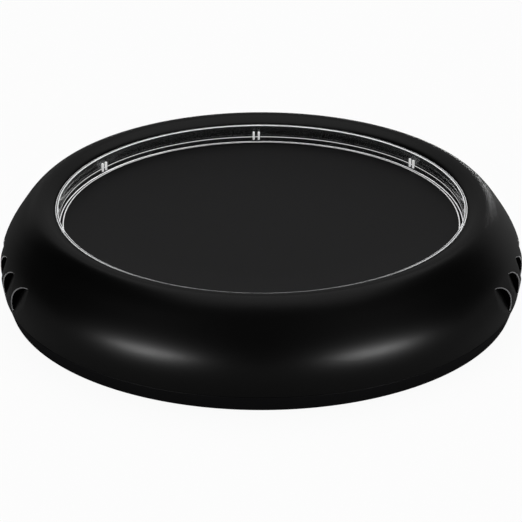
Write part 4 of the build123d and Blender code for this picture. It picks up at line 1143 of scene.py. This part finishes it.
# %% Give every piece its finish
slot_of = {row["node"]: row["material_slot"] for row in frame["record"]["subparts"]}
for name, node in nodes.items():
    node.data.materials.clear()
    node.data.materials.append(finishes[slot_of[name]])
mark_paint = finish("mark_paint", (0.8, 0.8, 0.78), (0.7, 0.7, 0.68), 0.5, 0.05, 9000, 0.2)
finishes["mark_paint"] = mark_paint
own_pieces = {
    "housing_plastic": [housing_shell],
    "clear_plastic": [clear_ring],
    "plate_coating": [heater_plate],
    "base_plastic": [base_shell],
    "switch_plastic": [bezel],
    "rocker_plastic": [rocker_key],
    "gland_rubber": [gland],
    "mark_paint": [bar_mark, circle_mark],
    "foot_rubber": rubber_feet,
}
for slot, pieces in own_pieces.items():
    for piece in pieces:
        piece.data.materials.clear()
        piece.data.materials.append(finishes[slot])
print("finished:", len(nodes), "nodes, and the looks in", len(own_pieces), "finishes")

# %% [markdown]
# ### Bright lines
# Thin bright lines are bands of faces with a finish of their own: frosted plastic round the rim
# of the ring, bright metallising at its foot with a darkened copy as painted shade where the
# line is faint, ribs with a painted glow though no lamp is in them, and bare metal on the step
# of the plate.

# %% Bands of the ring and the plate
NEAR = 0.02
RIB_STAND = 0.5
RIB_ENDS = (0.2, 0.1)
RIB_PAINTED_GLOW_LEVEL = 0.45


def edge_band(piece, material, bands):
    """Gives a further finish to the faces whose middle lies in a band of radius and height."""
    piece.data.materials.append(material)
    slot = len(piece.data.materials) - 1
    count = 0
    for face in piece.data.polygons:
        radius, height = hypot(face.center.x, face.center.y) / MM, face.center.z / MM
        if any(r0 < radius < r1 and z0 < height < z1 for r0, r1, z0, z1 in bands):
            face.material_index = slot
            count += 1
    print(piece.name, material.name, "on", count, "faces")


FROST = ((0.93, 0.94, 0.95), (0.87, 0.88, 0.89), 0.6, 0.05, 9000, 0.2)
# The ribs get an emission: a painted glow that stands in for light, though no lamp is in them.
painted_glow_values = {"Emission Color": (1, 1, 1, 1), "Emission Strength": RIB_PAINTED_GLOW_LEVEL}
frosted = finish("frosted_edge", *FROST)
painted_glow_rib = finish("rib_with_painted_glow", *FROST, painted_glow_values)
bright_edge = finish(
    "metallised_edge", (0.86, 0.86, 0.87), (0.76, 0.76, 0.77), 0.3, 0.06, 9000, 0.2, METAL
)
# A darkened copy of the metallised finish: painted shade that keeps the line of the upper facet
# and the ledge faint.
painted_shade_edge = finish(
    "metallised_edge_painted_shade", (0.04, 0.04, 0.041), (0.03, 0.03, 0.031), 0.4, 0.06, 9000, 0.2, METAL
)
bare_edge = finish("bare_metal_edge", grey(0.78), grey(0.68), 0.55, 0.06, 9000, 0.2, METAL)

rim_bands = [
    (RING_OUTER - RIM_ROUND, RING_OUTER, RING_TOP - RIM_ROUND, RING_TOP),
    (ring_inner, ring_inner + RIM_ROUND, RING_TOP - RIM_ROUND, RING_TOP),
]
rib_span = [level + end for level, end in zip(RIB_LEVELS, RIB_ENDS)]
rib_band = (ring_inner - RIB_STAND, ring_inner - NEAR, *rib_span)
facet_bands = [(inner, outer, level - FACET_DROP, level) for outer, inner, level in FACETS]
ledge_band = (FOOT_LEDGE, ring_inner, RING_STEP, RING_STEP + LEDGE_RISE)
step_band = (STEP_INNER, STEP_OUTER, PLATE_TOP - STEP_DROP, PLATE_TOP)
edge_band(clear_ring, frosted, rim_bands)
edge_band(clear_ring, painted_glow_rib, [rib_band])
edge_band(clear_ring, painted_shade_edge, [facet_bands[0], ledge_band])
edge_band(clear_ring, bright_edge, facet_bands[1:])
edge_band(heater_plate, bare_edge, [step_band])

# %% Painted shade on the walls of the gills and a painted highlight on their rims
GILL_ZONE = (SEAM_LEVEL + 0.5, 22.0)
RIM_DEPTHS = (0.02, 0.17)
RIM_FACING = 0.96
WALL_FACING = 0.75
WALL_DEPTHS = (RIM_DEPTHS[1], HOUSING_WALL - 0.1)

# Near-black finish on the walls of the gills: painted shade for the shadow inside each gill.
painted_gill_shade = finish(
    "painted_gill_shade", grey(0.0002), grey(0.0004), 0.9, 0.05, 6000, 0.1, {"Specular IOR Level": 0.0}
)
# Lighter, glossier finish on the rims of the gills: a painted highlight along each edge.
rim_coat = {"Specular IOR Level": 0.5, "Coat Weight": 0.4, "Coat Roughness": 0.3}
painted_rim_highlight = finish(
    "painted_rim_highlight", (0.03, 0.03, 0.031), (0.05, 0.05, 0.051), 0.4, 0.05, 9000, 0.1, rim_coat
)
for extra in (painted_gill_shade, painted_rim_highlight):
    housing_shell.data.materials.append(extra)


def gill_part(face):
    """What a face of the shell is: 0 plain skin, 1 a gill wall in painted shade, 2 a rim with a
    painted highlight.
    """
    centre, normal = face.center, face.normal
    level = centre.z / MM
    radius = hypot(centre.x, centre.y) / MM
    depth = np.interp(level, skin_heights, skin_radii) - radius
    skin_rise = np.interp(level, skin_heights, skin_rises)
    facing = (normal.x * centre.x + normal.y * centre.y) / (radius * MM)
    along_skin = (facing - skin_rise * normal.z) / hypot(1, skin_rise)
    if abs(centre.x) <= FLANK_FROM * MM or not GILL_ZONE[0] < level < GILL_ZONE[1]:
        return 0
    if RIM_DEPTHS[0] < depth < RIM_DEPTHS[1] and along_skin < RIM_FACING:
        return 2
    if WALL_DEPTHS[0] <= depth < WALL_DEPTHS[1] and facing < WALL_FACING:
        return 1
    return 0


gill_faces = [0, 0, 0]
for face in housing_shell.data.polygons:
    face.material_index = gill_part(face)
    gill_faces[face.material_index] += 1
# Counts of the faces in painted shade and of those with the painted highlight.
print("gill faces:", gill_faces[1], "dark,", gill_faces[2], "worn")

# %% [markdown]
# ## Studio
# A small catalogue table: a pale floor, a pale backdrop and a dim world. Two soft lamps low at the
# left and right give the two highlights on the front of the housing. A wide lamp overhead lies in
# the crown's gloss, and a low one behind on the right, with a floor that is brighter there in
# reflections, makes the right rear shoulder glow.

# %% Floor and world
FLOOR_SIZE = 8
WORLD_LEVEL = 0.012

only()
bpy.ops.mesh.primitive_plane_add(size=FLOOR_SIZE, location=(0, 0, 0))
floor = bpy.context.object
floor.name = "floor"

world = bpy.data.worlds.new("studio")
world.use_nodes = True
sky = world.node_tree.nodes["Background"]
sky.inputs["Color"].default_value = (1, 1, 1, 1)
sky.inputs["Strength"].default_value = WORLD_LEVEL
bpy.context.scene.world = world
print("floor:", FLOOR_SIZE, "metres, world at", WORLD_LEVEL)

# %% Ramps and sums
RAMP_SOCKETS = ("From Min", "From Max", "To Min", "To Max")


def ramp(tree, value, numbers):
    """A soft step from one value to another, along one coordinate."""
    step = wire(tree, "ShaderNodeMapRange", [(value, "Value")])
    step.interpolation_type = "SMOOTHSTEP"
    for socket, number in zip(RAMP_SOCKETS, numbers):
        step.inputs[socket].default_value = number
    return step.outputs["Result"]


def maths(tree, operation, *terms):
    """One sum on values and numbers."""
    node = tree.nodes.new("ShaderNodeMath")
    node.operation = operation
    for socket, term in zip(node.inputs, terms):
        if isinstance(term, (int, float)):
            socket.default_value = term
        else:
            tree.links.new(term, socket)
    return node.outputs["Value"]


print("helpers: ramp, maths")

# %% Card finish
CARD_ROUGHNESS = 0.9
LEFT_RAMP = (-0.12, 0.06, 0.45, 1.0)
RIGHT_RAMP = (0.0, 0.09, 0.0, 1.0)
REAR_RAMP = (0.0, 0.07, 0.0, 1.0)


def bright_corner(tree, mirrored, either, corner):
    """The share that reflections see, dimmer at the left and brighter behind on the right."""
    parts = tree.nodes.new("ShaderNodeSeparateXYZ")
    place = tree.nodes.new("ShaderNodeTexCoord")
    tree.links.new(place.outputs["Object"], parts.inputs["Vector"])
    x, y = parts.outputs["X"], parts.outputs["Y"]
    plain = maths(tree, "MULTIPLY", mirrored, ramp(tree, x, LEFT_RAMP))
    right = maths(tree, "MULTIPLY", ramp(tree, x, RIGHT_RAMP), corner)
    extra = maths(tree, "MULTIPLY", right, ramp(tree, y, REAR_RAMP))
    return maths(tree, "ADD", plain, maths(tree, "MULTIPLY", extra, either))


def card_finish(name, colour, share, mirrored, corner=0.0):
    """Pale card: the shares of plain white that the camera and the reflections see in it."""
    material, tree, card = new_material(name)
    card.inputs["Base Color"].default_value = (*grey(colour), 1)
    card.inputs["Roughness"].default_value = CARD_ROUGHNESS
    card.inputs["Specular IOR Level"].default_value = 0.0
    glow = wire(tree, "ShaderNodeEmission", Color=(1, 1, 1, 1), Strength=1.0)
    path = tree.nodes.new("ShaderNodeLightPath").outputs
    either = maths(tree, "MAXIMUM", path["Is Glossy Ray"], path["Is Transmission Ray"])
    seen = maths(tree, "MULTIPLY", either, mirrored)
    if corner:
        seen = bright_corner(tree, seen, either, corner)
    direct = maths(tree, "MULTIPLY_ADD", path["Is Camera Ray"], share, seen)
    blend = wire(tree, "ShaderNodeMixShader", [(direct, "Fac")])
    tree.links.new(card.outputs["BSDF"], blend.inputs[1])
    tree.links.new(glow.outputs["Emission"], blend.inputs[2])
    tree.links.new(blend.outputs["Shader"], tree.nodes["Material Output"].inputs["Surface"])
    return material


floor_card = card_finish("floor_card", colour=0.5, share=0.95, mirrored=0.12, corner=0.8)
floor.data.materials.append(floor_card)
print("floor finish:", floor_card.name)

# %% Backdrop
BACKDROP_SIZE = (2.8, 1.7)
BACKDROP_PLACE = (0.25, 1.3, 0.85)

only()
bpy.ops.mesh.primitive_plane_add(size=1, location=BACKDROP_PLACE, rotation=(pi / 2, 0, 0))
backdrop = bpy.context.object
backdrop.name = "backdrop"
backdrop.scale = (*BACKDROP_SIZE, 1)
settle(backdrop)
backdrop_card = card_finish("backdrop_card", colour=0.9, share=1.0, mirrored=1.0)
backdrop.data.materials.append(backdrop_card)
print("backdrop:", BACKDROP_SIZE, "metres")

# %% Lamps
def softbox(name, azimuth, elevation, distance, size, power, spread=180, aside=0.0):
    """A soft lamp, given by its direction from the middle of the warmer and a shift aside."""
    lamp_data = bpy.data.lights.new(name, "AREA")
    lamp_data.shape = "RECTANGLE"
    lamp_data.size, lamp_data.size_y = size
    lamp_data.energy = power
    lamp_data.spread = radians(spread)
    lamp = bpy.data.objects.new(name, lamp_data)
    bpy.context.scene.collection.objects.link(lamp)
    turn, lift = radians(azimuth), radians(elevation)
    direction = Vector((cos(turn) * cos(lift), sin(turn) * cos(lift), sin(lift)))
    lamp.location = direction * distance + Vector((aside, 0, 0))
    lamp.rotation_euler = (-direction).to_track_quat("-Z", "Y").to_euler()


SIDE_TURN = 47
RIM_TURN = 11
side_lamp = {"elevation": 1.9, "distance": 0.8, "size": (0.42, 0.052), "power": 1.15, "spread": 60}
softbox("left_lamp", FRONT - SIDE_TURN, **side_lamp)
softbox("right_lamp", FRONT + SIDE_TURN, **side_lamp)
top_lamp = {"elevation": 83, "distance": 1.0, "size": (1.25, 1.3), "power": 14.2, "aside": 0.12}
softbox("top_lamp", REAR, **top_lamp)
rim_lamp = {"elevation": 0.9, "distance": 0.8, "size": (0.5, 0.022), "power": 0.5, "spread": 90}
softbox("rim_lamp", REAR - RIM_TURN, **rim_lamp)
print("lamps:", [lamp.name for lamp in bpy.data.lights])

# %% View settings
bpy.context.scene.view_settings.view_transform = "Standard"
print("view transform:", bpy.context.scene.view_settings.view_transform)
